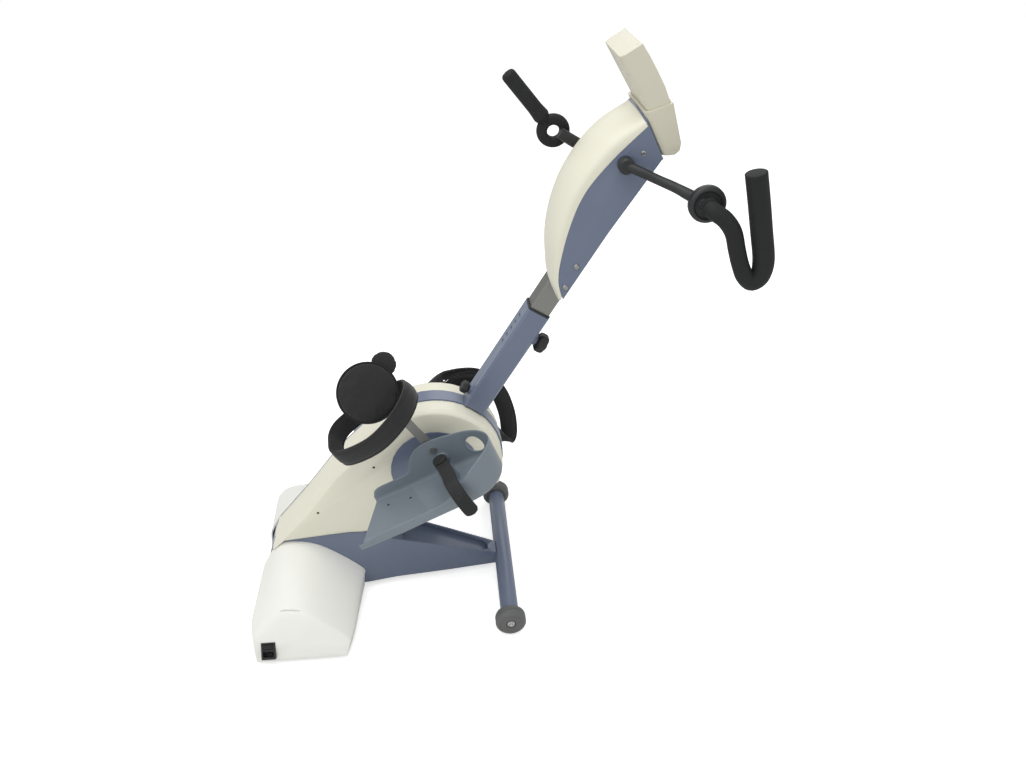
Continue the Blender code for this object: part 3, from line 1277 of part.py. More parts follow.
def head_bolts():
    """Two cross bolts clamp the side plates to the telescopic tube, with a shoulder between the plates."""
    inside = PLATE_OUTSIDE - HEAD_SHEET - GAP
    head = PLATE_OUTSIDE + GAP
    frame = bpy.data.objects["head_frame"]
    tube = bpy.data.objects["telescope_tube"]
    for name, (along, above) in HEAD_BOLTS.items():
        place = COLUMN_TOP + LEAN * along + FACE * above
        half = [(HEAD_BOLT_RADIUS, inside), (0.003, inside), (0.003, head), (0.0050, head),
                (0.0050, head + 0.0012), (0.0036, head + 0.0022), (0, head + 0.0022)]
        profile = [(radius, -across) for radius, across in half[::-1]] + half
        add_object(f"head_bolt_{name}", turned(profile, place, steps=SMALL_STEPS), "bright_steel", place)
        reach = Vector((0, 0.09, 0))
        cut(frame, rod(0.003 + GAP, place - reach, place + reach, SMALL_STEPS))
        cut(tube, rod(HEAD_BOLT_RADIUS + GAP, place - reach, place + reach, SMALL_STEPS))


def tube_along(points, radii, steps=3, sides=10):
    """A round tube through the points whose radius follows its own points along the way."""
    path = smooth_path(points, steps)

    def section(share):
        spot = share * (len(radii) - 1)
        low = min(int(spot), len(radii) - 2)
        radius = radii[low] + (radii[low + 1] - radii[low]) * (spot - low)
        return circle(radius, sides)
    return sweep(path, section)


NEAR_ARM = [(0.2210, -0.0900, 0.9518), (0.2428, -0.1030, 0.9444), (0.2685, -0.1160, 0.9345),
            (0.2962, -0.1330, 0.9250), (0.3188, -0.1480, 0.9155), (0.3390, -0.1590, 0.9065)]
FAR_ARM = [(0.2190, 0.0900, 0.9512), (0.2000, 0.1000, 0.9370), (0.1800, 0.1040, 0.9310),
           (0.1599, 0.1050, 0.9406), (0.1310, 0.1050, 0.9590)]
NEAR_RING = Vector((0.3460, 0, 0.9034))
FAR_RING = Vector((0.1205, 0, 0.9581))
FAR_SWIVEL = Vector((0.1415, 0, 0.9525))
NEAR_HANDLE = [(0.3463, -0.1745, 0.9030), (0.3520, -0.1860, 0.8985), (0.3700, -0.1930, 0.8860),
               (0.3857, -0.1945, 0.8637), (0.3951, -0.1950, 0.8328), (0.4044, -0.1950, 0.8052),
               (0.4150, -0.1950, 0.7835),
               (0.4290, -0.1950, 0.7728), (0.4420, -0.1950, 0.7850), (0.4440, -0.1950, 0.8140),
               (0.4333, -0.1950, 0.8661), (0.4226, -0.1950, 0.9165), (0.4113, -0.1950, 0.9663)]


def arm_hub(side):
    start = HUB_START
    stop = HUB_START + HUB_LENGTH
    profile = [(0, start), (HUB_RADIUS, start), (HUB_RADIUS + 0.001, start + 0.004), (HUB_RADIUS, stop - 0.003),
               (HUB_RADIUS - 0.003, stop), (0, stop)]
    return turned(profile, SHAFT, (0, side, 0))


def arm_cranks():
    for side in (-1, 1):
        route = NEAR_ARM if side < 0 else FAR_ARM
        radius = ARM_TUBE_RADIUS if side < 0 else FAR_ARM_RADIUS
        radii = [radius] * 5 + [radius * (1.35 if side < 0 else 1.0)]
        arm = add_object(f"arm_crank_{side_name(side)}", tube_along(route, radii), "black_plastic", SHAFT)
        unite(arm, arm_hub(side))
        bore_end = HUB_START + HUB_LENGTH - HUB_CAP + GAP
        cut(arm, rod(SHAFT_RADIUS + GAP, beside(SHAFT, side, 0.05), beside(SHAFT, side, bore_end)))
        if side < 0:
            profile = [(0, RING_FROM), (RING_RADIUS - 0.006, RING_FROM), (RING_RADIUS, RING_FROM + 0.006),
                       (RING_RADIUS, RING_TO - 0.006), (RING_RADIUS - 0.006, RING_TO), (0.020, RING_TO - 0.002),
                       (0, RING_TO - 0.002)]
            unite(arm, turned(profile, NEAR_RING, (0, -1, 0)))
            cut(arm, rod(SPIGOT_RADIUS + RUN_GAP, NEAR_RING - Vector((0, RING_FROM + 0.005, 0)),
                         NEAR_RING - Vector((0, 0.2, 0))))
        else:
            pin_end = FAR_RING_MIDDLE + FAR_RING_HALF + RUN_GAP
            start = FAR_SWIVEL + Vector((0, 0.105, 0))
            unite(arm, rod(SWIVEL_RADIUS, start, FAR_SWIVEL + Vector((0, pin_end + 0.002, 0)), MEDIUM_STEPS))
            unite(arm, rod(SWIVEL_RADIUS + 0.003, FAR_SWIVEL + Vector((0, pin_end, 0)),
                           FAR_SWIVEL + Vector((0, pin_end + 0.003, 0)), MEDIUM_STEPS))


def handles():
    tube = HANDLE_TUBE_RADIUS
    radii = [tube * 0.9] + [tube] * 5 + [tube * 1.05, tube * 1.12] + [GRIP_RADIUS] * 4
    place = NEAR_RING - Vector((0, RING_TO, 0))
    near = add_object("handle_near", tube_along(NEAR_HANDLE, radii, 2, 12), "black_rubber", place)
    unite(near, rod(SPIGOT_RADIUS, NEAR_RING - Vector((0, RING_FROM + 0.006, 0)),
                    NEAR_RING - Vector((0, RING_TO + 0.012, 0))))
    middle = FAR_RING + Vector((0, FAR_RING_MIDDLE, 0))
    half = FAR_RING_HALF
    profile = [(FAR_RING_HOLE, -half + 0.002), (FAR_RING_HOLE + 0.002, -half), (RING_RADIUS - 0.005, -half),
               (RING_RADIUS, -half + 0.005), (RING_RADIUS, half - 0.005), (RING_RADIUS - 0.005, half),
               (FAR_RING_HOLE + 0.002, half), (FAR_RING_HOLE, half - 0.002)]
    swivel = FAR_SWIVEL + Vector((0, FAR_RING_MIDDLE, 0))
    far = add_object("handle_far", turned(profile, middle, ring=True), "black_rubber", swivel)
    direction = Vector((-0.0856, 0, 0.1067)).normalized()
    start = middle + direction * (FAR_RING_HOLE + 0.008)
    reach = 0.120
    grip = []
    for share, radius in ((0, 0.0080), (0.06, 0.0100), (0.13, 0.0165), (0.20, FAR_GRIP_RADIUS + 0.001),
                          (0.28, FAR_GRIP_RADIUS), (0.96, FAR_GRIP_RADIUS), (0.99, FAR_GRIP_RADIUS - 0.003),
                          (1.0, FAR_GRIP_RADIUS - 0.006)):
        grip.append((radius, share * reach))
    unite(far, turned([(0, 0)] + grip + [(0, reach)], start, direction, 14))
    cut(far, rod(SWIVEL_RADIUS + RUN_GAP, FAR_SWIVEL + Vector((0, 0.05, 0)), FAR_SWIVEL + Vector((0, 0.2, 0)),
                 MEDIUM_STEPS))


# Control panel: a slab-like case whose foot stands in a cup on the head's end plate.
# Each station gives the (x, z) of the side that looks at the head and of the side that looks at the user.
PANEL_STATIONS = [
    ((0.2840, 0.9730), (0.3120, 0.9790)), ((0.2535, 1.0400), (0.2932, 1.0510)),
    ((0.2400, 1.0630), (0.2820, 1.0780)), ((0.2280, 1.0830), (0.2690, 1.1010)),
    ((0.2145, 1.1060), (0.2540, 1.1260)), ((0.2025, 1.1265), (0.2390, 1.1480)),
]
SOCKET_USER_SIDE = [(0.0060, (0.3080, 0.9640)), (0.0100, (0.3150, 0.9710)), (0.0220, (0.3162, 0.9840)),
                    (0.0890, (0.2968, 1.0530))]


def case_ring(left, right, half, corner, grow=0.0):
    """A level section of the case: wide corners on the head's side, small ones on the user's side."""
    left = Vector((left[0], 0, left[1]))
    right = Vector((right[0], 0, right[1]))
    deep = (right - left).normalized()
    left -= deep * grow
    right += deep * grow
    half += grow
    span = (right - left).length
    ring = []
    for middle, low, radius in ((corner, 180, corner), (span - 0.003, 270, 0.003)):
        for step in range(5):
            turn = math.radians(low + 90 * step / 4)
            ring.append(left + deep * (middle + radius * math.cos(turn))
                        + Vector((0, radius - half + radius * math.sin(turn), 0)))
    return ring + [Vector((point.x, -point.y, point.z)) for point in ring[::-1]]


def head_end(along):
    """A point in the side view on the outer face of the head's end plate, from its lower edge."""
    run = HEAD_RUN
    point = Vector(HEAD_BACK[-1]) + run * along + Vector((run.y, -run.x)) * (END_PLATE - END_LAP + GAP)
    return point.x, point.y


def control_panel():
    rings = [case_ring(left, right, PANEL_HALF, PANEL_CORNER) for left, right in PANEL_STATIONS]
    case = add_object("control_panel", loft(rings), "cream_plastic", sharp=30)
    low = Vector((PANEL_STATIONS[2][1][0], 0, PANEL_STATIONS[2][1][1]))
    high = Vector((PANEL_STATIONS[4][1][0], 0, PANEL_STATIONS[4][1][1]))
    up = (high - low).normalized()
    out = Vector((up.z, 0, -up.x))
    turn = Matrix((Vector((0, 1, 0)), out, up)).transposed()
    face = (low + high) / 2
    pocket = face - out * (SCREEN_DEPTH / 2 - 0.0010)
    room = (SCREEN_WIDTH + 2 * GAP, SCREEN_DEPTH + 2 * GAP, SCREEN_HEIGHT + 2 * GAP)
    cut(case, block(pocket + out * 0.004, (room[0], room[1] + 0.008, room[2]), turn))
    add_object("display_screen", block(pocket, (SCREEN_WIDTH, SCREEN_DEPTH, SCREEN_HEIGHT), turn),
               "screen_dark", face)


def display_socket():
    """The cup: it follows the end plate on one side and opens upwards round the panel's foot."""
    rings = []
    for index, (along, right) in enumerate(SOCKET_USER_SIDE):
        half = SOCKET_FOOT_HALF + (SOCKET_HALF - SOCKET_FOOT_HALF) * min(1.0, index / 2)
        rings.append(case_ring(head_end(along), right, half, SOCKET_CORNER))
    cup = add_object("display_socket", loft(rings), "cream_plastic", sharp=30)
    hollow = [case_ring(left, right, PANEL_HALF, PANEL_CORNER, GAP) for left, right in PANEL_STATIONS[:3]]
    down = (hollow[0][0] - hollow[1][0]).normalized() * GAP
    hollow[0] = [point + down for point in hollow[0]]
    cut(cup, loft(hollow))


def build():
    clear_scene()
    empty("trainer", (ORIGIN_X, 0, 0))
    base_frame()
    rollers()
    base_covers()
    base_plate()
    base_feet()
    mains_inlet()
    base_electronics()
    leg_frame()
    leg_shells()
    leg_drive()
    foot_shells()
    foot_bails()
    leg_guides()
    column()
    telescope()
    knobs()
    head_frame()
    head_cover()
    arm_drive()
    head_bolts()
    arm_cranks()
    handles()
    control_panel()
    display_socket()


build()
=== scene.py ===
# Looks of the arm and leg trainer: finishes, smooth mouldings, soft goods and small fittings round the frame.
# Lengths are in metres
import json
import math

import bmesh
import bpy
from mathutils import Matrix, Vector
from mathutils.bvhtree import BVHTree


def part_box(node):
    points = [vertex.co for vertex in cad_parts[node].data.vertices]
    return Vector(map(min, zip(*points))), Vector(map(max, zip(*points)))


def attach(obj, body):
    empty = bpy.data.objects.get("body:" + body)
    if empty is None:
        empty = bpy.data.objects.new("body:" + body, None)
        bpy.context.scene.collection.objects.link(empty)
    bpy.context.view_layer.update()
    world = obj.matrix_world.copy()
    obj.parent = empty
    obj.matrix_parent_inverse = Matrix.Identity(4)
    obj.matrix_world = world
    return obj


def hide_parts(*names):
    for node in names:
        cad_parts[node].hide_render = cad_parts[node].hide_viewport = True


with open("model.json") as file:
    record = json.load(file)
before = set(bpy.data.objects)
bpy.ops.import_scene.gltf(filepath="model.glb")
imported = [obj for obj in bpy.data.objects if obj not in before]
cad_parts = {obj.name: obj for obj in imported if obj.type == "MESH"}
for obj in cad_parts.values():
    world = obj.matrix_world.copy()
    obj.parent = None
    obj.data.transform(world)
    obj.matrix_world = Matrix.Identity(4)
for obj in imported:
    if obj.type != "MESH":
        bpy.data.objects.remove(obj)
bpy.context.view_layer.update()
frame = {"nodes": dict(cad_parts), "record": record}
nodes = frame["nodes"]
slotOf = {entry["node"]: entry["material_slot"] for entry in frame["record"]["subparts"]}
bodyOf = {node: body for body, members in frame["record"]["behaviour"]["bodies"].items() for node in members}
scene = bpy.context.scene
sideName = {-1: "near", 1: "far"}
print("frame loaded:", len(nodes), "nodes")

# Camera at the photograph's angle, worked out from the cross tube, the column and the base's edges
camera = {
    "place": (-0.06945, -1.58313, 1.42011),
    "turn": (59.2715, 0.5226, -5.0786),
    "focalPixels": 900.0,
    "pictureWidth": 1026.0,
    "sensor": 36.0,
    "farthest": 30,
}


def placeCamera():
    data = bpy.data.cameras.new("pictureCamera")
    data.sensor_width = camera["sensor"]
    data.lens = camera["focalPixels"] / camera["pictureWidth"] * camera["sensor"]
    data.clip_end = camera["farthest"]
    made = bpy.data.objects.new("pictureCamera", data)
    made.location = camera["place"]
    made.rotation_euler = [math.radians(angle) for angle in camera["turn"]]
    scene.collection.objects.link(made)
    scene.camera = made


# Studio: a pale floor, a white surround and four large soft lamps round the object
studio = {
    "floorHex": "F4F4F2",
    "floorSize": 14.0,
    "floorLift": 0.62,
    "worldHex": "FFFFFF",
    "worldStrength": 0.5,
    "aim": (0.0, 0.0, 0.5),
    "lamps": [  # name, place, size, power
        ("topLamp", (-0.5, -0.5, 3.3), 2.4, 44.0),
        ("keyLamp", (-2.2, -2.0, 2.2), 1.8, 15.0),
        ("fillLamp", (2.4, -1.8, 1.7), 2.2, 7.0),
        ("rimLamp", (0.6, 2.6, 2.6), 2.0, 16.0),
    ],
}


def linear(hexColour):
    # an sRGB hex colour as the linear colour that a node takes
    parts = [int(hexColour[start:start + 2], 16) / 255 for start in (0, 2, 4)]
    return [part / 12.92 if part <= 0.04045 else ((part + 0.055) / 1.055) ** 2.4 for part in parts] + [1.0]


def addNode(tree, kind, inputs, **settings):
    # an input takes a value, or the output that feeds it; a setting is a property of the node
    node = tree.nodes.new(kind)
    for name, value in settings.items():
        setattr(node, name, value)
    for name, value in inputs.items():
        if isinstance(value, bpy.types.NodeSocket):
            tree.links.new(value, node.inputs[name])
        else:
            node.inputs[name].default_value = value
    return node


def newMaterial(name):
    made = bpy.data.materials.new(name)
    made.use_nodes = True
    made.node_tree.nodes.clear()
    return made, made.node_tree


def forCamera(tree, lit, shown):
    # the camera sees the second shader, and the object is lit by the first
    cameraRay = addNode(tree, "ShaderNodeLightPath", {}).outputs["Is Camera Ray"]
    inputs = {0: cameraRay, 1: lit.outputs[0], 2: shown.outputs[0]}
    return addNode(tree, "ShaderNodeMixShader", inputs).outputs[0]


def buildFloor():
    # matt painted board that only the camera sees a little lighter, so that it stays near white
    made, tree = newMaterial("paleFloor")
    matt = addNode(tree, "ShaderNodeBsdfDiffuse", {"Color": linear(studio["floorHex"])})
    white = addNode(tree, "ShaderNodeEmission", {"Color": linear("FFFFFF"), "Strength": studio["floorLift"]})
    lifted = addNode(tree, "ShaderNodeAddShader", {0: matt.outputs[0], 1: white.outputs[0]})
    addNode(tree, "ShaderNodeOutputMaterial", {"Surface": forCamera(tree, matt, lifted)})
    half = studio["floorSize"] / 2
    corners = [(-half, -half, 0), (half, -half, 0), (half, half, 0), (-half, half, 0)]
    data = bpy.data.meshes.new("studioFloor")
    data.from_pydata(corners, [], [(0, 1, 2, 3)])
    data.materials.append(made)
    floor = bpy.data.objects.new("studioFloor", data)
    scene.collection.objects.link(floor)


def buildLight():
    world = bpy.data.worlds.new("studioWorld")
    world.use_nodes = True
    tree = world.node_tree
    tree.nodes.clear()
    tint = linear(studio["worldHex"])
    plain = addNode(tree, "ShaderNodeBackground", {"Color": tint, "Strength": studio["worldStrength"]})
    shown = addNode(tree, "ShaderNodeBackground", {"Color": linear("FFFFFF"), "Strength": 1.0})
    addNode(tree, "ShaderNodeOutputWorld", {"Surface": forCamera(tree, plain, shown)})
    scene.world = world
    for name, place, size, power in studio["lamps"]:
        data = bpy.data.lights.new(name, "AREA")
        data.size = size
        data.energy = power
        lamp = bpy.data.objects.new(name, data)
        lamp.location = place
        lamp.rotation_euler = (Vector(studio["aim"]) - Vector(place)).to_track_quat("-Z", "Y").to_euler()
        scene.collection.objects.link(lamp)
    scene.view_settings.view_transform = "Standard"


placeCamera()
buildFloor()
buildLight()
print("camera and studio placed")

# Finishes, each named for what the real surface is and how it was made. Grain, peel, line and thread are
# sizes on the object. Real moulded grain is about 0.2 mm and wouldn't show, so it is drawn at 0.5 to 1.4 mm
finishes = {}


def startFinish(name):
    finishes[name], tree = newMaterial(name)
    return tree, addNode(tree, "ShaderNodeTexCoord", {}).outputs["Object"]


def closeFinish(tree, hexes, tint, height, bump, depth, allOver, shine=None, rough=None):
    # the tint runs from the dark hex to the light one; what is equal all over sits on the shader's sockets
    light, dark = hexes
    tone = addNode(tree, "ShaderNodeMix", {0: tint, 6: linear(dark), 7: linear(light)}, data_type="RGBA")
    relief = addNode(tree, "ShaderNodeBump", {"Height": height, "Strength": bump, "Distance": depth})
    inputs = {"Base Color": tone.outputs[2], "Normal": relief.outputs[0], **allOver}
    if shine:
        gloss = addNode(tree, "ShaderNodeMapRange", {"Value": shine, "To Min": rough[0], "To Max": rough[1]})
        inputs["Roughness"] = gloss.outputs[0]
    shader = addNode(tree, "ShaderNodeBsdfPrincipled", inputs)
    addNode(tree, "ShaderNodeOutputMaterial", {"Surface": shader.outputs[0]})


def mouldedPlastic(name, *hexes, rough, grain, bump, cloud, spread=0.06, specular=0.5):
    # an injection-moulded face: a fine spark-eroded grain, and a slow drift of tone from the gate
    tree, where = startFinish(name)
    drift = addNode(tree, "ShaderNodeTexNoise", {
        "Vector": where, "Scale": 1 / cloud, "Detail": 3.0, "Roughness": 0.55}).outputs["Fac"]
    pits = addNode(tree, "ShaderNodeTexNoise", {
        "Vector": where, "Scale": 1 / grain, "Detail": 2.0, "Roughness": 0.6}).outputs["Fac"]
    closeFinish(tree, hexes, drift, pits, bump, grain * 0.25, {"Specular IOR Level": specular, "IOR": 1.49},
                pits, (rough - spread, rough + spread))


def powderCoat(name, *hexes, rough, peel, bump, coat):
    # baked powder on steel: a gentle orange peel, true to size, under a thin clear gloss
    tree, where = startFinish(name)
    drift = addNode(tree, "ShaderNodeTexNoise", {
        "Vector": where, "Scale": 6.0, "Detail": 2.0, "Roughness": 0.5}).outputs["Fac"]
    skin = addNode(tree, "ShaderNodeTexVoronoi", {
        "Vector": where, "Scale": 1 / peel, "Smoothness": 1.0}, feature="SMOOTH_F1").outputs["Distance"]
    closeFinish(tree, hexes, drift, skin, bump, peel * 0.12, {"Coat Weight": coat, "Coat Roughness": 0.22},
                drift, (rough - 0.04, rough + 0.05))


def turnedSteel(name, *hexes, rough, line, stretch, bump):
    # bright steel with the marks that a belt or a lathe leaves; the stretch makes them 0.2 to 0.3 mm wide
    tree, where = startFinish(name)
    drawn = addNode(tree, "ShaderNodeMapping", {"Vector": where, "Scale": stretch}).outputs[0]
    marks = addNode(tree, "ShaderNodeTexNoise", {
        "Vector": drawn, "Scale": 1 / line, "Detail": 3.0, "Roughness": 0.6}).outputs["Fac"]
    closeFinish(tree, hexes, marks, marks, bump, 0.0002, {"Metallic": 1.0},
                marks, (rough - 0.08, rough + 0.1))


def knitCloth(name, *hexes, thread, bump):
    # ribs of thread that cross at right angles, under loose fluff
    tree, where = startFinish(name)
    ribs = []
    for axis in ("X", "Z"):
        ribs.append(addNode(tree, "ShaderNodeTexWave", {
            "Vector": where, "Scale": 0.5 / thread, "Distortion": 0.6, "Detail": 1.0},
            bands_direction=axis, wave_profile="SIN").outputs["Fac"])
    cross = addNode(tree, "ShaderNodeMath", {0: ribs[0], 1: ribs[1]}, operation="MULTIPLY").outputs[0]
    fluff = addNode(tree, "ShaderNodeTexNoise", {
        "Vector": where, "Scale": 1 / (thread * 6), "Detail": 4.0, "Roughness": 0.65}).outputs["Fac"]
    height = addNode(tree, "ShaderNodeMath", {0: cross, 1: fluff}, operation="ADD").outputs[0]
    closeFinish(tree, hexes, fluff, height, bump, thread * 0.4, {
        "Roughness": 0.88, "Sheen Weight": 0.25, "Sheen Roughness": 0.5})


# ABS shells, injection moulded and spark-grained: an even warm white with one broad, soft highlight
mouldedPlastic("creamAbs", "EFEDDC", "E6E3D0", rough=0.4, grain=0.0009, bump=0.05, cloud=0.22, spread=0.05)
# ABS sheet, vacuum formed: a cooler, nearly clean white with the same soft highlight
mouldedPlastic("whiteAbs", "F8F8F3", "F0F0E9", rough=0.4, grain=0.0009, bump=0.05, cloud=0.22, spread=0.05)
# the cream ABS of the display's case and cup with painted shade in it: a duller, greyer cream that stands for
# the shade on their faces
mouldedPlastic("shadedCreamAbs", "DEDAC8", "D3CFBC", rough=0.4, grain=0.0009, bump=0.05, cloud=0.22, spread=0.05)
# tinted ABS of the foot shells: a flat blue grey whose grain dulls the edge of each highlight
mouldedPlastic("blueGreyAbs", "848F98", "7A858F", rough=0.44, grain=0.0009, bump=0.08, cloud=0.12)
# moulded rubber: nearly black, with a weak, wide sheen
mouldedPlastic("blackRubber", "2A2B2C", "212223", rough=0.62, grain=0.0012, bump=0.2, cloud=0.06, spread=0.08,
               specular=0.35)
# glass-filled nylon, moulded: black with a visible grain and a clear edge light
mouldedPlastic("blackNylon", "2B2C2E", "232426", rough=0.46, grain=0.0008, bump=0.14, cloud=0.06, spread=0.07)
# grey nylon rollers, moulded: mid grey and a little waxy
mouldedPlastic("greyNylon", "6C6D6D", "616262", rough=0.5, grain=0.001, bump=0.12, cloud=0.05)
# cast belt and piping rubber: dull black, with hardly a highlight
mouldedPlastic("beltRubber", "2A2A2B", "202021", rough=0.78, grain=0.001, bump=0.25, cloud=0.05,
               specular=0.3)
# solder-masked board: dark green with a lacquered shine
mouldedPlastic("boardGreen", "2E6B45", "275B3B", rough=0.45, grain=0.0008, bump=0.1, cloud=0.04)
# hard-coated acrylic window: dark and smooth, it mirrors the lamps; a 4 mm wave is the sheet's slight warp
mouldedPlastic("screenGlass", "27323C", "232D36", rough=0.14, grain=0.004, bump=0.01, cloud=0.08, spread=0.02)
# closed-cell foam grip, skinned in the mould: soft black with open pores and no clear highlight
mouldedPlastic("gripFoam", "2A2B2C", "202122", rough=0.68, grain=0.0014, bump=0.3, cloud=0.05, spread=0.07,
               specular=0.3)
# spun polyester thread: dark grey, just lighter than the cloth that it is sewn in
mouldedPlastic("stitchThread", "3A3B3E", "2E2F31", rough=0.7, grain=0.0005, bump=0.3, cloud=0.02,
               specular=0.3)
# painted shade: near-black bars stand for the shade inside the cross punched in a screw's head
mouldedPlastic("paintedCrossShade", "1A1A1B", "141415", rough=0.6, grain=0.0006, bump=0.1, cloud=0.02, spread=0.05,
               specular=0.3)
# powder-coated steel in slate blue: soft colour, a peeled skin and a clear, low gloss
powderCoat("slateBluePowder", "717C92", "67728A", rough=0.38, peel=0.0016, bump=0.1, coat=0.35)
# stoved enamel on the motors: black, with a thinner gloss than powder
powderCoat("motorEnamel", "2B2B2E", "232326", rough=0.42, peel=0.0014, bump=0.1, coat=0.1)
# bright zinc plate on turned steel: pale warm grey, with its lines round the part
turnedSteel("zincSteel", "B4B3AE", "A09F9A", rough=0.36, line=0.004, stretch=(1, 12, 1), bump=0.1)
# belt-ground stainless tube: satin, with its lines along the tube
turnedSteel("satinTube", "9A9A97", "888885", rough=0.42, line=0.003, stretch=(10, 10, 1), bump=0.12)
# ground shaft steel: the brightest metal here, with a tight highlight
turnedSteel("groundSteel", "C4C3BF", "AFAEA9", rough=0.26, line=0.002, stretch=(1, 10, 1), bump=0.06)
# polyester knit laminated on foam: matt black, a faint sheen where it turns away, and ribs about 1 mm apart
knitCloth("knitFoam", "242426", "191A1B", thread=0.0016, bump=0.5)

slotFinish = {
    "cream_plastic": "creamAbs", "blue_paint": "slateBluePowder", "grey_blue_shell": "blueGreyAbs",
    "black_rubber": "blackRubber", "black_plastic": "blackNylon", "black_webbing": "knitFoam",
    "roller_grey": "greyNylon", "bright_steel": "zincSteel", "satin_steel": "satinTube",
    "bearing_steel": "groundSteel", "motor_black": "motorEnamel", "board_green": "boardGreen",
    "belt_rubber": "beltRubber", "screen_dark": "screenGlass",
}
for node, piece in nodes.items():
    finish = finishes[slotFinish[slotOf[node]]]
    if piece.data.materials:
        piece.data.materials[0] = finish
    else:
        piece.data.materials.append(finish)
print("finishes made:", len(finishes))


# Shared mesh tools. Places are given as in the machine's own drawing, whose zero is the cross tube's axis
originX = 0.03425


def at(x, y, z):
    return Vector((x + originX, y, z))


def smoothPath(points, steps, closed=False):
    # a curve that passes through every point
    points = [Vector(point) for point in points]
    last = len(points) - 1
    path = []
    for span in range(last + closed):
        if closed:
            a, b, c, d = (points[(span + shift) % len(points)] for shift in (-1, 0, 1, 2))
        else:
            a, b, c, d = points[max(span - 1, 0)], points[span], points[span + 1], points[min(span + 2, last)]
        for step in range(steps):
            t = step / steps
            path.append(0.5 * (2 * b + (c - a) * t + (2 * a - 5 * b + 4 * c - d) * t ** 2
                               + (3 * b - a - 3 * c + d) * t ** 3))
    if not closed:
        path.append(points[-1])
    return path


def eased(share):
    return share * share * (3 - 2 * share)


def axisFrame(axis):
    axis = Vector(axis).normalized()
    side = axis.cross(Vector((0, 0, 1)) if abs(axis.z) < 0.9 else Vector((1, 0, 0))).normalized()
    return side, side.cross(axis)


def joinRings(mesh, rings, closed=False):
    rows = [[mesh.verts.new(point) for point in ring] for ring in rings]
    pairs = list(zip(rows, rows[1:]))
    if closed:
        pairs.append((rows[-1], rows[0]))
    for low, high in pairs:
        for here in range(len(low)):
            after = (here + 1) % len(low)
            mesh.faces.new((low[here], low[after], high[after], high[here]))
    if not closed:
        mesh.faces.new(rows[0][::-1])
        mesh.faces.new(rows[-1])


def sweepInto(mesh, path, section, closed=False, up=None):
    # section(share) gives the outline at that share of the way, as (across, above)
    count = len(path)
    rings = []
    side = None
    for index, point in enumerate(path):
        before = path[(index - 1) % count] if closed else path[max(index - 1, 0)]
        after = path[(index + 1) % count] if closed else path[min(index + 1, count - 1)]
        along = (after - before).normalized()
        share = index / (count if closed else count - 1)
        if up is not None:
            side = along.cross(up(share)).normalized()
        elif side is None:
            side = axisFrame(along)[0]
        else:
            side = (side - along * side.dot(along)).normalized()
        above = side.cross(along)
        rings.append([point + side * across + above * lift for across, lift in section(share)])
    joinRings(mesh, rings, closed)


def roundOutline(radius, steps=28):
    turns = [2 * math.pi * step / steps for step in range(steps)]
    return [(radius * math.cos(turn), radius * math.sin(turn)) for turn in turns]


def softBar(width, height, corner, steps=5):
    # a bar's outline with round corners, anticlockwise
    outline = []
    corner = min(corner, width / 2 - 1e-5, height / 2 - 1e-5)
    for right, top, start in ((1, -1, -90), (1, 1, 0), (-1, 1, 90), (-1, -1, 180)):
        middle = (right * (width / 2 - corner), top * (height / 2 - corner))
        for step in range(steps + 1):
            turn = math.radians(start + 90 * step / steps)
            outline.append((middle[0] + corner * math.cos(turn), middle[1] + corner * math.sin(turn)))
    return outline


def turnInto(mesh, profile, centre, axis=(0, 1, 0), steps=48, shape=None):
    # a profile of (radius, along) carried round an axis; shape(turn) may scale the radius
    axis = Vector(axis).normalized()
    side, up = axisFrame(axis)
    rows = []
    for radius, along in profile:
        middle = Vector(centre) + axis * along
        if radius <= 1e-6:
            rows.append([mesh.verts.new(middle)])
            continue
        ring = []
        for step in range(steps):
            turn = 2 * math.pi * step / steps
            reach = radius * (shape(turn) if shape else 1)
            ring.append(mesh.verts.new(middle + (side * math.cos(turn) + up * math.sin(turn)) * reach))
        rows.append(ring)
    for low, high in zip(rows, rows[1:]):
        for step in range(steps):
            after = (step + 1) % steps
            if len(low) == 1 and len(high) > 1:
                mesh.faces.new((low[0], high[step], high[after]))
            elif len(high) == 1 and len(low) > 1:
                mesh.faces.new((low[step], low[after], high[0]))
            elif len(low) > 1:
                mesh.faces.new((low[step], low[after], high[after], high[step]))


def softProfile(points, rounding=0.0015, steps=3):
    # rounds the corners of a lathe profile
    made = [tuple(Vector(points[0]))]
    for before, here, after in zip(points, points[1:], points[2:]):
        before, here, after = Vector(before), Vector(here), Vector(after)
        back = min(rounding, (before - here).length * 0.45)
        ahead = min(rounding, (after - here).length * 0.45)
        start = here + (before - here).normalized() * back
        end = here + (after - here).normalized() * ahead
        for step in range(steps + 1):
            t = step / steps
            made.append(tuple(start * (1 - t) ** 2 + here * 2 * t * (1 - t) + end * t ** 2))
    return made + [tuple(Vector(points[-1]))]


def bothEnds(half):
    # a profile that is the same at both ends of its axis
    return [(radius, -along) for radius, along in half[::-1]] + half


def barInto(mesh, centre, size, turn):
    made = bmesh.ops.create_cube(mesh, size=1)
    place = Matrix.Translation(centre) @ turn.to_4x4() @ Matrix.Diagonal((*size, 1))
    bmesh.ops.transform(mesh, matrix=place, verts=made["verts"])


def meshObject(name, mesh):
    data = bpy.data.meshes.new(name)
    bmesh.ops.recalc_face_normals(mesh, faces=mesh.faces)
    mesh.to_mesh(data)
    mesh.free()
    made = bpy.data.objects.new(name, data)
    scene.collection.objects.link(made)
    return made


def smoothShade(data, angle):
    data.shade_smooth()
    data.set_sharp_from_angle(angle=math.radians(angle))


def addPiece(name, mesh, finish, body, smooth=40, stands=()):
    piece = meshObject(name, mesh)
    smoothShade(piece.data, smooth)
    piece.data.materials.append(finishes[finish])
    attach(piece, body)
    if stands:
        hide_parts(*stands)
    return piece


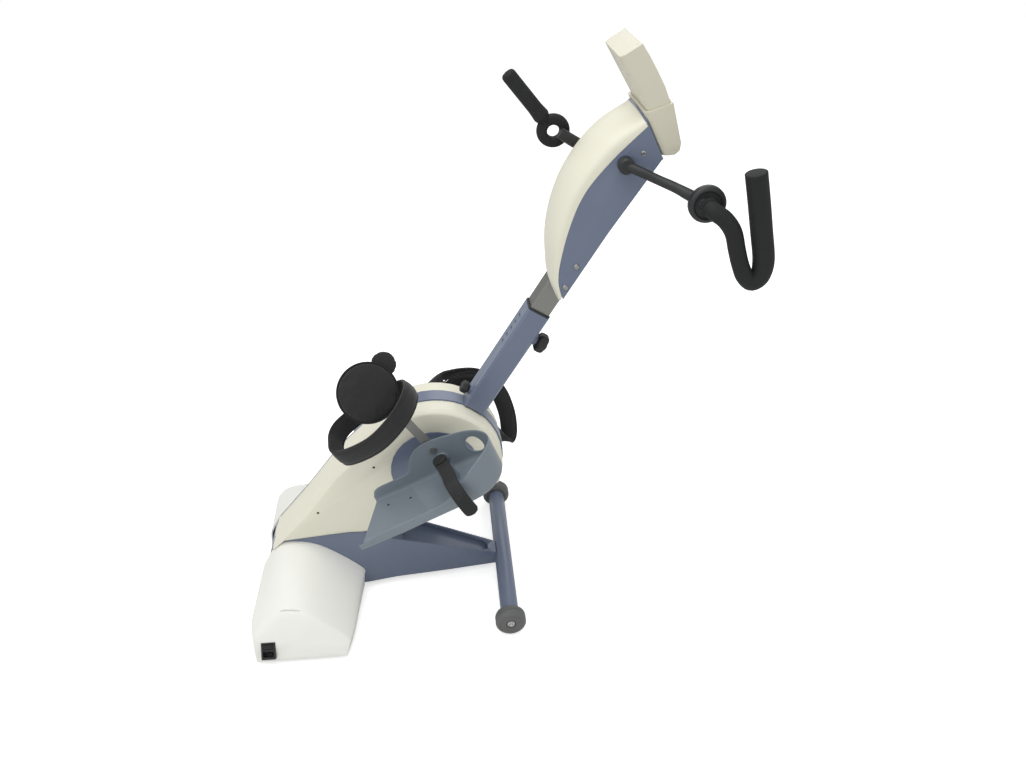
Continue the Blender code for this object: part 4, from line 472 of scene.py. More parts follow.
def settle(piece, smooth):
    # the piece keeps what its modifiers made, as a plain mesh
    bpy.context.view_layer.update()
    fresh = bpy.data.meshes.new_from_object(piece.evaluated_get(bpy.context.evaluated_depsgraph_get()))
    old = piece.data
    piece.modifiers.clear()
    piece.data = fresh
    bpy.data.meshes.remove(old)
    smoothShade(fresh, smooth)


def carve(piece, cutter, smooth):
    tool = meshObject("cutter", cutter)
    step = piece.modifiers.new("carve", "BOOLEAN")
    step.operation = "DIFFERENCE"
    step.solver = "EXACT"
    step.object = tool
    settle(piece, smooth)
    bpy.data.objects.remove(tool, do_unlink=True)


def makeFiner(piece):
    finer = piece.modifiers.new("finer", "SUBSURF")
    finer.levels = finer.render_levels = 1


# Hard pieces keep their own form, with welded faces, smooth curves and an edge broken by the width given here
dressed = {
    "leg_frame": 0.001, "leg_shell_near": 0.0008, "leg_shell_far": 0.0008, "column": 0.0018,
    "telescope_tube": 0.0006, "column_bush": 0.0008, "head_frame": 0.0006, "control_panel": 0.001,
    "display_socket": 0.0009, "leg_crank_near": 0.0012, "leg_crank_far": 0.0012, "leg_guide_bar_near": 0.0006,
    "leg_guide_bar_far": 0.0006, "base_plate": 0.0005, "base_foot_near": 0.0008, "base_foot_far": 0.0008,
    "mains_inlet": 0.0004, "mains_switch": 0.0004, "leg_trim_near": 0.0003, "leg_trim_far": 0.0003,
    "display_screen": 0.0004, "base_frame": 0.0012,
    "arm_motor_bracket": 0.0004, "leg_motor": 0.0006, "arm_motor": 0.0006, "control_board": 0.0002,
}
# the display's case and cup take the cream with painted shade
dressedFinish = {"control_panel": "shadedCreamAbs", "display_socket": "shadedCreamAbs"}


def dressNode(node, width):
    mesh = bmesh.new()
    mesh.from_mesh(nodes[node].data)
    bmesh.ops.remove_doubles(mesh, verts=mesh.verts, dist=1e-5)
    bmesh.ops.dissolve_limit(mesh, angle_limit=math.radians(0.6), verts=mesh.verts, edges=mesh.edges)
    finish = dressedFinish.get(node, slotFinish[slotOf[node]])
    piece = addPiece(node + "_skin", mesh, finish, bodyOf[node], 35, [node])
    bevel = piece.modifiers.new("edgeRound", "BEVEL")
    bevel.width = width
    bevel.segments = 2
    bevel.limit_method = "ANGLE"
    bevel.angle_limit = math.radians(30)


for node, width in dressed.items():
    dressNode(node, width)
print("hard pieces dressed:", len(dressed))

# Arms: dipped black steel cranks, each with a round joint at its outer end
arms = {
    "shaft": at(0.22, 0, 0.952),
    "hub": [(0, 0.0785), (0.0135, 0.0785), (0.0145, 0.0825), (0.0145, 0.096), (0.0118, 0.0995),
            (0, 0.0995)],
    "nearRoute": [(0.221, -0.09, 0.9518), (0.2428, -0.103, 0.9444), (0.2685, -0.116, 0.9345),
                  (0.2962, -0.133, 0.925), (0.3188, -0.148, 0.9155), (0.339, -0.159, 0.9065)],
    "farRoute": [(0.219, 0.09, 0.9512), (0.2, 0.1, 0.937), (0.18, 0.104, 0.931),
                 (0.1599, 0.105, 0.9406), (0.131, 0.105, 0.959)],
    "nearRadii": [0.0092, 0.0086, 0.0084, 0.0088, 0.01, 0.0128],
    "farRadii": [0.011, 0.0112, 0.0112, 0.0112, 0.0108],
    "nearJoint": at(0.346, 0, 0.9034),
    "nearDisc": [(0, 0.149), (0.0265, 0.149), (0.0325, 0.1535), (0.0325, 0.1655), (0.0268, 0.17),
                 (0.024, 0.1692), (0.0225, 0.168), (0.015, 0.1676), (0.0135, 0.1682), (0.0115, 0.1682)],
    "nearNeck": (0.012, 0.16, 0),
    "farJoint": at(0.1205, 0, 0.9581),
    "farSwivel": at(0.1415, 0, 0.9525),
    "farPin": [(0, 0.105), (0.005, 0.105), (0.005, 0.1362), (0.0082, 0.1364), (0.0082, 0.1386),
               (0.0066, 0.1396), (0, 0.1396)],
}


def radiusAt(radii, share):
    spot = share * (len(radii) - 1)
    low = min(int(spot), len(radii) - 2)
    return radii[low] + (radii[low + 1] - radii[low]) * eased(spot - low)


def makeArm(side):
    name = sideName[side]
    mesh = bmesh.new()
    path = smoothPath([at(*point) for point in arms[name + "Route"]], 7)
    sweepInto(mesh, path, lambda share: roundOutline(radiusAt(arms[name + "Radii"], share)))
    turnInto(mesh, softProfile(arms["hub"]), arms["shaft"], (0, side, 0))
    if side < 0:
        turnInto(mesh, softProfile(arms["nearDisc"], 0.003, 4), arms["nearJoint"], (0, -1, 0), 64)
        neck = [path[-6], path[-1], arms["nearJoint"] - Vector(arms["nearNeck"])]
        sweepInto(mesh, smoothPath(neck, 4), lambda share: roundOutline(0.0105 + 0.004 * share))
    else:
        turnInto(mesh, softProfile(arms["farPin"], 0.0008), arms["farSwivel"], steps=32)
    addPiece("armCrank_" + name, mesh, "blackNylon", "arms", 38, ["arm_crank_" + name])


for side in sideName:
    makeArm(side)

# Hand grips: the near one is a long bent grip, the far one a ring on a short stem
handles = {
    "nearRoute": [(0.3463, -0.1745, 0.903), (0.352, -0.186, 0.8985), (0.37, -0.193, 0.886),
                  (0.3857, -0.1945, 0.8637), (0.3951, -0.195, 0.8328), (0.4044, -0.195, 0.8052),
                  (0.415, -0.195, 0.7835), (0.429, -0.195, 0.7728), (0.442, -0.195, 0.785),
                  (0.444, -0.195, 0.814), (0.4333, -0.195, 0.8661), (0.4226, -0.195, 0.9165),
                  (0.4113, -0.195, 0.9663)],
    "nearRadii": [0.0138, 0.0148, 0.015, 0.015, 0.015, 0.015, 0.0156, 0.0162, 0.0176] + [0.0188] * 4,
    "nearEnd": [(0.0, 1.0), (0.0006, 0.985), (0.0012, 0.94), (0.0015, 0.86)],
    "spigot": [(0, 0.155), (0.0108, 0.155), (0.0108, 0.17), (0.015, 0.1716), (0.0152, 0.179),
               (0, 0.18)],
    "farOut": 0.1265,
    "farHalf": 0.0095,
    "farRing": 0.0325,
    "farHole": 0.012,
    "farRun": (-0.0856, 0, 0.1067),
    "farReach": 0.12,
    "farGrip": [(0.0, 0.01), (0.05, 0.0118), (0.13, 0.016), (0.22, 0.015), (0.3, 0.0142), (0.95, 0.0142),
                (0.985, 0.0122), (1.0, 0.009)],
}


def makeNearHandle():
    # a bent steel tube under one long foam grip: the grip's end is flat with a soft edge
    mesh = bmesh.new()
    path = smoothPath([at(*point) for point in handles["nearRoute"]], 6)
    last = path[-1]
    run = (last - path[-2]).normalized()
    ending, radii = handles["nearEnd"], handles["nearRadii"]
    plain = len(path) - 1
    full = path[:-1] + [last + run * (lift - ending[-1][0]) for lift, _ in ending]

    def section(share):
        index = round(share * (len(full) - 1))
        if index >= plain:
            return roundOutline(radii[-1] * ending[index - plain][1], 36)
        return roundOutline(radiusAt(radii, index / plain), 36)

    sweepInto(mesh, full, section)
    turnInto(mesh, softProfile(handles["spigot"], 0.002), arms["nearJoint"], (0, -1, 0))
    addPiece("handGrip_near", mesh, "gripFoam", "grip_near", 38, ["handle_near"])


def makeFarHandle():
    mesh = bmesh.new()
    middle = arms["farJoint"] + Vector((0, handles["farOut"], 0))
    half, rim, hole = handles["farHalf"], handles["farRing"], handles["farHole"]
    reach = handles["farReach"]
    loop = [(hole, -half + 0.003), (hole + 0.003, -half), (rim - 0.006, -half), (rim - 0.0015, -half + 0.003),
            (rim, 0), (rim - 0.0015, half - 0.003), (rim - 0.006, half), (hole + 0.003, half),
            (hole, half - 0.003), (hole, -half + 0.003)]
    turnInto(mesh, softProfile(loop, 0.002), middle, steps=64)
    bmesh.ops.remove_doubles(mesh, verts=mesh.verts, dist=1e-6)
    along = Vector(handles["farRun"]).normalized()
    profile = [(0, 0)] + [(radius, share * reach) for share, radius in handles["farGrip"]]
    profile += [(0.0045, reach + 0.0002), (0.0038, reach - 0.0012), (0, reach - 0.0012)]
    turnInto(mesh, softProfile(profile, 0.003), middle + along * (hole + 0.008), along, 40)
    addPiece("handGrip_far", mesh, "gripFoam", "grip_far", 38, ["handle_far"])


makeNearHandle()
makeFarHandle()
print("arms and grips made")

# Rollers: a grey tyre with a groove round its middle and a dished outer face
rollers = {"centre": at(0, 0, 0.032), "inner": 0.2018, "width": 0.031, "rim": 0.032, "groove": 0.002}
rollerAxle = [(0.005, 0.1795), (0.0166, 0.1795), (0.0166, 0.2015), (0.005, 0.2015), (0.005, 0.2291),
              (0.0084, 0.2291), (0.0084, 0.2311), (0.0062, 0.2322), (0.0038, 0.2325), (0.0032, 0.2312),
              (0, 0.2312)]


def makeRoller(side):
    name = sideName[side]
    inner, rim, groove = rollers["inner"], rollers["rim"], rollers["groove"]
    outer = inner + rollers["width"]
    middle = (inner + outer) / 2
    profile = [(0.0062, inner + 0.002), (0.019, inner + 0.0005), (rim - 0.007, inner), (rim, inner + 0.006),
               (rim, middle - groove), (rim - groove, middle - groove * 0.4),
               (rim - groove, middle + groove * 0.4), (rim, middle + groove), (rim, outer - 0.007),
               (rim - 0.0065, outer), (0.0245, outer), (0.0232, outer - 0.0018), (0.0138, outer - 0.002),
               (0.0122, outer - 0.0006), (0.0105, outer - 0.0006), (0.0095, outer - 0.0045),
               (0.0062, outer - 0.0045)]
    mesh = bmesh.new()
    turnInto(mesh, softProfile(profile, 0.0016), rollers["centre"], (0, side, 0), 72)
    addPiece("floorRoller_" + name, mesh, "greyNylon", "roller_" + name, 34,
             ["rear_roller_" + name])


def makeAxle():
    mesh = bmesh.new()
    turnInto(mesh, softProfile(bothEnds(rollerAxle), 0.0006, 2), rollers["centre"])
    addPiece("rollerAxle", mesh, "groundSteel", "base", 34, ["roller_axle"])


for side in sideName:
    makeRoller(side)
makeAxle()

# Knobs: each stands on its boss on one face of the leaning column
column = {"top": at(0.078, 0, 0.644), "foot": at(-0.064, 0, 0.417), "halfDepth": 0.024, "knobGap": 0.0004}
lean = (column["top"] - column["foot"]).normalized()
face = Vector((-lean.z, 0, lean.x))
knobs = {
    "clamp": {"foot": column["top"] - lean * 0.06, "axis": -face, "boss": 0.01, "radius": 0.0205,
              "height": 0.022, "stem": 0.005, "reach": 0.0125},
    "stop": {"foot": column["foot"] + lean * 0.046, "axis": face, "boss": 0.004, "radius": 0.013,
             "height": 0.016, "stem": 0.004, "reach": 0.0065},
}
knobLobes = {"count": 6, "depth": 0.11}


def lobed(turn):
    return 1 - knobLobes["depth"] * (0.5 - 0.5 * math.cos(knobLobes["count"] * turn)) ** 1.4


def makeKnob(name):
    # a moulded star knob: a skirt under six soft lobes, a dished top with a plug in it
    knob = knobs[name]
    axis, radius, height, stem, reach = (knob[key] for key in ("axis", "radius", "height", "stem", "reach"))
    centre = knob["foot"] + axis * (column["halfDepth"] + knob["boss"] + column["knobGap"])
    grip = [(0, 0), (0.66, 0), (0.8, 0.1), (0.97, 0.22), (1, 0.36), (1, 0.72), (0.94, 0.9), (0.8, 1),
            (0.46, 1), (0.42, 0.95), (0, 0.95)]
    grip = [(radius * out, height * up) for out, up in grip]
    mesh = bmesh.new()
    turnInto(mesh, softProfile(grip, 0.002), centre, axis, 96, lobed)
    addPiece(name + "Knob", mesh, "blackNylon", name, 40, [name + "_knob"])
    screw = [(0, -reach), (stem, -reach), (stem, 0.001), (0, 0.001)]
    mesh = bmesh.new()
    turnInto(mesh, softProfile(screw, 0.0006, 2), centre, axis, 32)
    addPiece(name + "Screw", mesh, "zincSteel", name, 34)


for name in knobs:
    makeKnob(name)
print("rollers and knobs made")

# Foot shells: a smooth moulded tray whose wall sweeps up into a round heel cup. In a shell's own places u
# runs to the heel, v outward and w up; rims give (u, height), and profiles give (radius, along)
feet = {
    "axle": at(-0.139, 0, 0.318),
    "crankReach": 0.064,
    "crankTurn": math.radians(75),
    "tilt": {-1: math.radians(24), 1: math.radians(-26)},
    "inner": 0.11,
    "width": 0.14,
    "length": 0.308,
    "pivot": (0.1915, 0.0328),
    "wall": 0.003,
    "machineRim": [(0.0, 0.013), (0.008, 0.024), (0.026, 0.03), (0.06, 0.031), (0.1, 0.031),
                   (0.116, 0.036), (0.128, 0.056), (0.148, 0.075), (0.176, 0.083), (0.206, 0.081)],
    "heelRim": [0.076, 0.073, 0.072, 0.073, 0.076, 0.079, 0.078, 0.071, 0.056],
    "outerRim": [(0.212, 0.038), (0.18, 0.027), (0.14, 0.0245), (0.06, 0.021), (0.03, 0.018),
                 (0.0, 0.013)],
    "toeSlant": 0.026,
    "toeEnd": 0.1,
    "guideHinge": (0.183, 0.06),
    "hingeRing": [(0.0044, 0.001), (0.009, 0.001), (0.0088, 0.005), (0.0044, 0.005)],
    "bailAxis": (0.043, 0.034),
    "bailEars": (0.18, 0.207),
    "earRadius": 0.006,
    "earFoot": [(-0.0085, 0.006), (-0.012, 0.0035), (0.012, 0.0035), (0.0085, 0.006)],
    "bailPin": [(0, 0.0302), (0.0034, 0.0302), (0.0034, 0.0018), (0, 0.0018)],
    "heelHole": ((0.268, -0.02, 0.04), (0.262, 0.034, 0.038), 0.019),
    "bossInside": [(0.0165, 0.0025), (0.015, 0.0034), (0.0135, 0.0064), (0.0068, 0.0064),
                   (0.0068, 0.0025)],
    "screws": [(0.104, 0.042), (0.054, 0.034)],
    "bossBack": 0.0847,
}


def inSideView(turn):
    return Vector((math.cos(turn), 0, math.sin(turn)))


def crankPin(side):
    # the two cranks stand half a turn apart
    return feet["axle"] + inSideView(feet["crankTurn"] + (0 if side < 0 else math.pi)) * feet["crankReach"]


def footPlace(side):
    tilt, pin = feet["tilt"][side], crankPin(side)
    along = inSideView(tilt)
    above = Vector((-math.sin(tilt), 0, math.cos(tilt)))
    across = Vector((0, side, 0))
    pivotU, pivotW = feet["pivot"]

    def place(u, v, w):
        return pin + along * (u - pivotU) + above * (w - pivotW) + across * (feet["inner"] + v)

    return place


def footAxes(place):
    # the shell's own directions: to the heel, outward and up
    return [place(*step) - place(0, 0, 0) for step in ((1, 0, 0), (0, 1, 0), (0, 0, 1))]


def rimStations():
    # the plan and height of the rim, from the toe on the machine's side round the heel and back to the toe
    radius = feet["width"] / 2
    middle = Vector((feet["length"] - radius, radius))
    rough = [Vector((u, 0, height)) for u, height in feet["machineRim"]]
    heels = len(feet["heelRim"])
    for step, height in enumerate(feet["heelRim"]):
        turn = -math.pi / 2 + math.pi * step / (heels - 1)
        rough.append(Vector((middle.x + math.cos(turn) * radius, middle.y + math.sin(turn) * radius, height)))
    rough += [Vector((u, feet["width"], height)) for u, height in feet["outerRim"]]
    stations = []
    for point in smoothPath(rough, 5):
        if point.x > middle.x:
            out = (Vector((point.x, point.y)) - middle).normalized()
            plan, into = middle + out * radius, -out
        else:
            # the toe's edge runs askew: it starts further back on the machine's side
            inner = point.y < radius
            slant = feet["toeSlant"] * max(0.0, 1 - point.x / feet["toeEnd"]) if inner else 0.0
            plan = Vector((max(point.x, 0) + slant, 0 if inner else feet["width"]))
            into = Vector((0, 1 if inner else -1))
        stations.append((plan, into, point.z))
    return stations


def wallLevels(reach, height, wall):
    # the wall's section as (draw, lift), up the outside and down the inside; its root widens towards the heel
    heel = max(0.0, min(1.0, (reach - feet["toeEnd"]) / 0.15))
    low = 0.004 + 0.012 * heel
    belly = 0.001 + 0.003 * heel
    root = low * 0.45 + belly * 0.55
    return [(low, 0), (root, 0.0018), (belly, 0.007), (belly * 0.6, 0.012), (0.0002, height - 0.0025),
            (0.0004, height - 0.0009), (wall / 2, height), (wall - 0.0004, height - 0.0009),
            (wall, height - 0.0025), (belly * 0.6 + wall, 0.0145), (belly + wall, 0.01),
            (root + wall * 1.1, 0.0055), (low + wall * 1.4, wall)]


def makeFootShell(side):
    name = sideName[side]
    place = footPlace(side)
    mesh = bmesh.new()
    rows = []
    for plan, into, height in rimStations():
        row = []
        for draw, lift in wallLevels(plan.x, height, feet["wall"]):
            spot = plan + into * draw
            row.append(mesh.verts.new(place(spot.x, spot.y, lift)))
        rows.append(row)
    for here, after in zip(rows, rows[1:]):
        for level in range(len(here) - 1):
            mesh.faces.new((here[level], after[level], after[level + 1], here[level + 1]))
    mesh.faces.new([row[0] for row in rows])
    mesh.faces.new([row[-1] for row in rows])
    mesh.faces.new(rows[0])
    mesh.faces.new(rows[-1])
    mesh.faces.new((rows[0][0], rows[0][-1], rows[-1][-1], rows[-1][0]))
    shell = addPiece("footShell_" + name, mesh, "blueGreyAbs", "foot_" + name, 42,
                     ["foot_shell_" + name])
    start, end, radius = feet["heelHole"]
    start, end = place(*start), place(*end)
    reach = (end - start).length
    cutter = bmesh.new()
    turnInto(cutter, [(0, 0), (radius, 0), (radius, reach), (0, reach)], start, end - start)
    carve(shell, cutter, 42)


def makeFootBosses(side):
    # the pin's boss, the guide's hinge ring, and two ears with a pin for the bail
    name = sideName[side]
    place = footPlace(side)
    across = Vector((0, side, 0))
    mesh = bmesh.new()
    hub = place(feet["pivot"][0], 0, feet["pivot"][1])
    back = feet["bossBack"] - feet["inner"]
    boss = [(0.007, back), (0.0115, back), (0.0135, back + 0.0015), (0.0135, -0.006), (0.0185, -0.0005),
            (0.0185, 0.001)]
    turnInto(mesh, softProfile(boss), hub, across)
    turnInto(mesh, softProfile(feet["bossInside"], 0.001), hub, across)
    hinge = place(feet["guideHinge"][0], 0, feet["guideHinge"][1])
    turnInto(mesh, softProfile(feet["hingeRing"], 0.0006), hinge, across, 40)
    v, w = feet["bailAxis"]
    turns = [math.pi * step / 16 for step in range(17)]
    ear = [(v + feet["earRadius"] * math.cos(turn), w + feet["earRadius"] * math.sin(turn)) for turn in turns]
    ear += [(v + out, up) for out, up in feet["earFoot"]]
    for start in feet["bailEars"]:
        start += 0.0003
        joinRings(mesh, [[place(start + lift, v + (ev - v) * grow, w + (ew - w) * grow) for ev, ew in ear]
                         for lift, grow in ((0, 0.94), (0.0006, 1), (0.0038, 1), (0.0044, 0.94))])
    turnInto(mesh, feet["bailPin"], place(feet["bailEars"][0], v, w), footAxes(place)[0], 24)
    addPiece("footBosses_" + name, mesh, "blueGreyAbs", "foot_" + name, 38)


for side in sideName:
    makeFootShell(side)
    makeFootBosses(side)

# Bails: a flat black lever over the instep with a round cap at its hinge and a soft tip
bails = {
    "cap": (0.196, 0.043),
    "capProfile": [(0, 0.0405), (0.0135, 0.0405), (0.0145, 0.0425), (0.0145, 0.048), (0.014, 0.049),
                   (0.0145, 0.05), (0.0145, 0.06), (0.0128, 0.062), (0.01, 0.0622), (0.0094, 0.0612),
                   (0, 0.0612)],
    "barrel": [(0.004, 0.0054), (0.0074, 0.0054), (0.008, 0.0062), (0.008, 0.0258), (0.0074, 0.0266),
               (0.004, 0.0266)],
    "route": [(0.196, 0.043, 0.05), (0.207, 0.08, 0.059), (0.216, 0.113, 0.064),
              (0.2215, 0.141, 0.062), (0.2285, 0.162, 0.037), (0.235, 0.168, 0.002)],
    "bendFrom": 0.45,
    "wide": 0.028,
    "thick": 0.01,
    "dimples": [(0.21, 0.092, 0.06), (0.227, 0.159, 0.042)],
    "dimple": [(0, -0.001), (0.0062, -0.001), (0.0062, 0.0004), (0.0055, 0.001), (0.0046, 0.0006),
               (0.004, -0.0006), (0, -0.0006)],
}


def makeBail(side):
    name = sideName[side]
    body = "bail_" + name
    place = footPlace(side)
    path = smoothPath([place(*point) for point in bails["route"]], 9)
    heelward, outward, upward = footAxes(place)

    def up(share):
        bend = eased(max(0.0, share - bails["bendFrom"]) / (1 - bails["bendFrom"]))
        return upward * (1 - bend) + outward * bend

    def section(share):
        tip = max(0.0, (share - 0.93) / 0.07)
        start = max(0.0, (0.05 - share) / 0.05)
        shrink = math.sqrt(max(0.02, 1 - (0.93 * tip) ** 2.4)) * (1 - 0.25 * start)
        wide = bails["wide"] * (1.0 - 0.06 * math.sin(math.pi * share)) * shrink
        return softBar(wide, bails["thick"] * (0.8 + 0.2 * shrink), 0.0028)

    mesh = bmesh.new()
    sweepInto(mesh, path, section, up=up)
    turnInto(mesh, softProfile(bails["capProfile"], 0.001), place(*bails["cap"], 0), upward, 56)
    hinge = place(feet["bailEars"][0], *feet["bailAxis"])
    turnInto(mesh, softProfile(bails["barrel"], 0.0005), hinge, heelward, 40)
    addPiece("footBail_" + name, mesh, "blackRubber", body, 40, ["foot_bail_" + name])
    mesh = bmesh.new()
    for spot in bails["dimples"]:
        middle = place(*spot)
        nearest = min(range(len(path)), key=lambda item: (path[item] - middle).length)
        run = (path[min(nearest + 1, len(path) - 1)] - path[nearest - 1]).normalized()
        out = up(nearest / (len(path) - 1))
        out = (out - run * out.dot(run)).normalized()
        base = path[nearest] + out * (bails["thick"] / 2 - 0.0004)
        turnInto(mesh, softProfile(bails["dimple"], 0.0003, 2), base, out, 32)
    addPiece("bailRivets_" + name, mesh, "blackNylon", body, 40)


for side in sideName:
    makeBail(side)
print("foot shells and bails made")

# Pedal pins: ground steel with a flange outside the crank and a domed, slotted head inside the shell
pins = {"flange": [(0.0065, 0.0814), (0.011, 0.0814), (0.011, 0.0842), (0.0065, 0.0842)]}


def makePedalPin(side):
    node = "pedal_pin_" + sideName[side]
    low, high = sorted(abs(corner[1]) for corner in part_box(node))
    profile = [(0, low), (0.0062, low), (0.0065, low + 0.0006), (0.0065, high - 0.0032),
               (0.0108, high - 0.0032), (0.011, high - 0.0024), (0.0096, high - 0.0004), (0.006, high),
               (0.0034, high), (0.003, high - 0.0012), (0, high - 0.0012)]
    mesh = bmesh.new()
    for outline in (profile, pins["flange"]):
        turnInto(mesh, softProfile(outline, 0.0004, 2), crankPin(side), (0, side, 0), 40)
    addPiece("pedalPin_" + sideName[side], mesh, "groundSteel", bodyOf[node], 34, [node])


for side in sideName:
    makePedalPin(side)

# Leg guides: a slotted bar carries a round foam pad on a moulded dish, and a padded loop for the calf. The
# pad's skin is blown up by a cloth simulation
guides = {
    "tilt": {-1: math.radians(125.5), 1: math.radians(47)},
    "set": {-1: 0.192, 1: 0.131},
    "barThick": 0.004,
    "runGap": 0.0003,
    "clipGap": 0.0004,
    "clip": (0.03, 0.044),
    "padRadius": 0.057,
    "padThick": 0.012,
    "offset": {-1: 0.0335, 1: 0.034},
    "looksUp": {-1: 0.52, 1: 0.39},
    "tabSet": {-1: (0.031, 0.06), 1: (0.064, 0.01)},
    "tabRadius": 0.025,
    "stud": [(0, 0.005), (0.0031, 0.005), (0.0031, -0.0005), (0.0092, -0.0005), (0.0095, -0.001),
             (0.0095, -0.0022), (0.009, -0.0026), (0.0062, -0.0027)],
    "nut": [(0.0062, -0.0026), (0.0062, -0.0054), (0.0054, -0.006), (0, -0.006)],
    "voxel": 0.004,
    "pressure": 4.0,
    "frames": 20,
    "mostSwell": 0.006,
    "tabSwell": 0.004,
    "fill": 0.75,
}


def guideFrame(side):
    hinge = footPlace(side)(feet["guideHinge"][0], 0, feet["guideHinge"][1])
    along = inSideView(guides["tilt"][side])
    out = Vector((0, side, 0))
    middle = hinge - out * (guides["runGap"] + guides["barThick"] / 2)
    return middle + along * guides["set"][side], along, Vector((along.z, 0, -along.x)), out


def swell(piece, most):
    # the foam's skin is blown up by a little pressure, and no point moves further than the cap
    remesh = piece.modifiers.new("evenGrid", "REMESH")
    remesh.mode = "VOXEL"
    remesh.voxel_size = guides["voxel"]
    settle(piece, 180)
    before = [vertex.co.copy() for vertex in piece.data.vertices]
    cloth = piece.modifiers.new("foamSkin", "CLOTH")
    cloth.settings.use_pressure = True
    cloth.settings.uniform_pressure_force = guides["pressure"]
    cloth.settings.effector_weights.gravity = 0.0
    cloth.settings.quality = 6
    for tick in range(1, guides["frames"] + 1):
        scene.frame_set(tick)
    settle(piece, 180)
    scene.frame_set(1)
    for vertex, start in zip(piece.data.vertices, before):
        moved = vertex.co - start
        if moved.length > most:
            vertex.co = start + moved.normalized() * most
    makeFiner(piece)


def padDisc(name, centre, facing, radius, thick, body, stands, most):
    # a foam disc: a crowned face over a waisted side, drawn a little small because it swells
    rough = [(0, 0.0), (0.9, 0.0), (0.955, 0.15), (0.965, 0.5), (0.955, 0.8), (0.88, 0.96), (0.5, 1.06),
             (0, 1.1)]
    mesh = bmesh.new()
    profile = softProfile([(radius * out, thick * up) for out, up in rough], 0.003)
    turnInto(mesh, profile, centre, facing, 72)
    piece = addPiece(name, mesh, "knitFoam", body, 60, stands)
    swell(piece, most)


def piping(mesh, centre, facing, radius, thick, lift):
    side, up = axisFrame(facing)
    turns = [2 * math.pi * step / 72 for step in range(72)]
    loop = [centre + facing * lift + (side * math.cos(turn) + up * math.sin(turn)) * radius for turn in turns]
    sweepInto(mesh, loop, lambda share: roundOutline(thick, 10), True, lambda share: facing)


def makeCalfPad(side):
    name = sideName[side]
    body = "pad_" + name
    seat, along, across, out = guideFrame(side)
    rise = guides["looksUp"][side]
    facing = out * math.sqrt(1 - rise ** 2) + Vector((0, 0, rise))
    centre = seat + out * guides["offset"][side]
    radius, thick = guides["padRadius"], guides["padThick"]
    padDisc("calfPad_" + name, centre + facing * 0.0035, facing, radius, thick - 0.002, body,
            ["calf_pad_" + name], guides["mostSwell"])
    mesh = bmesh.new()
    piping(mesh, centre, facing, radius * 0.985, 0.0016, thick * 0.78)
    piping(mesh, centre, facing, radius * 0.985, 0.0014, 0.0035)
    addPiece("calfPiping_" + name, mesh, "beltRubber", body, 60)
    # the moulded dish behind the pad, its clip on the bar and the stem between them
    dish = [(0, -0.0018), (0.55, -0.0016), (0.9, 0.0), (0.985, 0.003), (0.975, 0.0046), (0.9, 0.0045),
            (0, 0.0045)]
    mesh = bmesh.new()
    turnInto(mesh, softProfile([(radius * share, lift) for share, lift in dish], 0.0012), centre, facing, 72)
    half = out * (guides["barThick"] / 2 + guides["clipGap"])
    clip, back = seat + half, seat - half
    rings = []
    for lift, grow in ((0, 0.96), (0.0008, 1.0), (0.0032, 1.0), (0.004, 0.96)):
        outline = softBar(guides["clip"][0] * grow, guides["clip"][1] * grow, 0.004)
        rings.append([clip + out * lift + across * a + along * b for a, b in outline])
    joinRings(mesh, rings)
    neck = centre + facing * 0.002 - (clip + out * 0.002)
    stem = [(0, 0), (0.015, 0), (0.0125, 0.004), (0.012, neck.length * 0.6), (0.0165, neck.length * 0.92),
            (0, neck.length)]
    turnInto(mesh, softProfile(stem, 0.003), clip + out * 0.002, neck)
    addPiece("calfDish_" + name, mesh, "blackNylon", body, 40)
    mesh = bmesh.new()
    turnInto(mesh, softProfile(guides["stud"], 0.0003, 2), back, out, 40)
    turnInto(mesh, guides["nut"], back, out, 6)
    addPiece("calfStud_" + name, mesh, "zincSteel", body, 30)
    reach = along * guides["tabSet"][side][0] + across * guides["tabSet"][side][1]
    tab = centre + reach - facing * reach.dot(facing) - facing * 0.005
    padDisc("calfTab_" + name, tab + facing * 0.001, facing, guides["tabRadius"] * 1.02, 0.008, body, (),
            guides["tabSwell"])


# Straps: a foam core under knit, in a loop whose first point lies on the bar. A route's points are (across
# the bar, outward, along it)
straps = {
    "wide": 0.038,
    "thick": 0.0055,
    "behind": 0.0082,
    "route": {
        -1: [(0.0, 0.0022, -0.036), (-0.058, 0.004, -0.034), (-0.096, 0.02, -0.032),
             (-0.112, 0.045, -0.04), (-0.108, 0.076, -0.056), (-0.035, 0.094, -0.062),
             (0.034, 0.088, -0.05), (0.068, 0.056, -0.04), (0.06, 0.015, -0.04)],
        1: [(0.0, 0.0026, -0.036), (0.045, 0.0034, -0.032), (0.09, 0.008, -0.036), (0.138, 0.022, -0.05),
            (0.16, 0.038, -0.042), (0.148, 0.048, -0.022), (0.108, 0.052, 0.01), (0.06, 0.06, 0.03),
            (0.0, 0.07, 0.02), (-0.05, 0.055, -0.01), (-0.07, 0.026, -0.03)],
    },
    "twist": {-1: 0.0, 1: 0.85},
    "heldShare": 0.07,
    "stitchInset": 0.0036,
    "stitch": (0.0034, 0.0007, 0.0007),
    "stitchStep": 0.0056,
    "fill": 0.55,
}


def freeShare(share):
    # 0 where the loop is held on the bar, 1 where it hangs free
    return min(1.0, min(share, 1 - share) / straps["heldShare"])


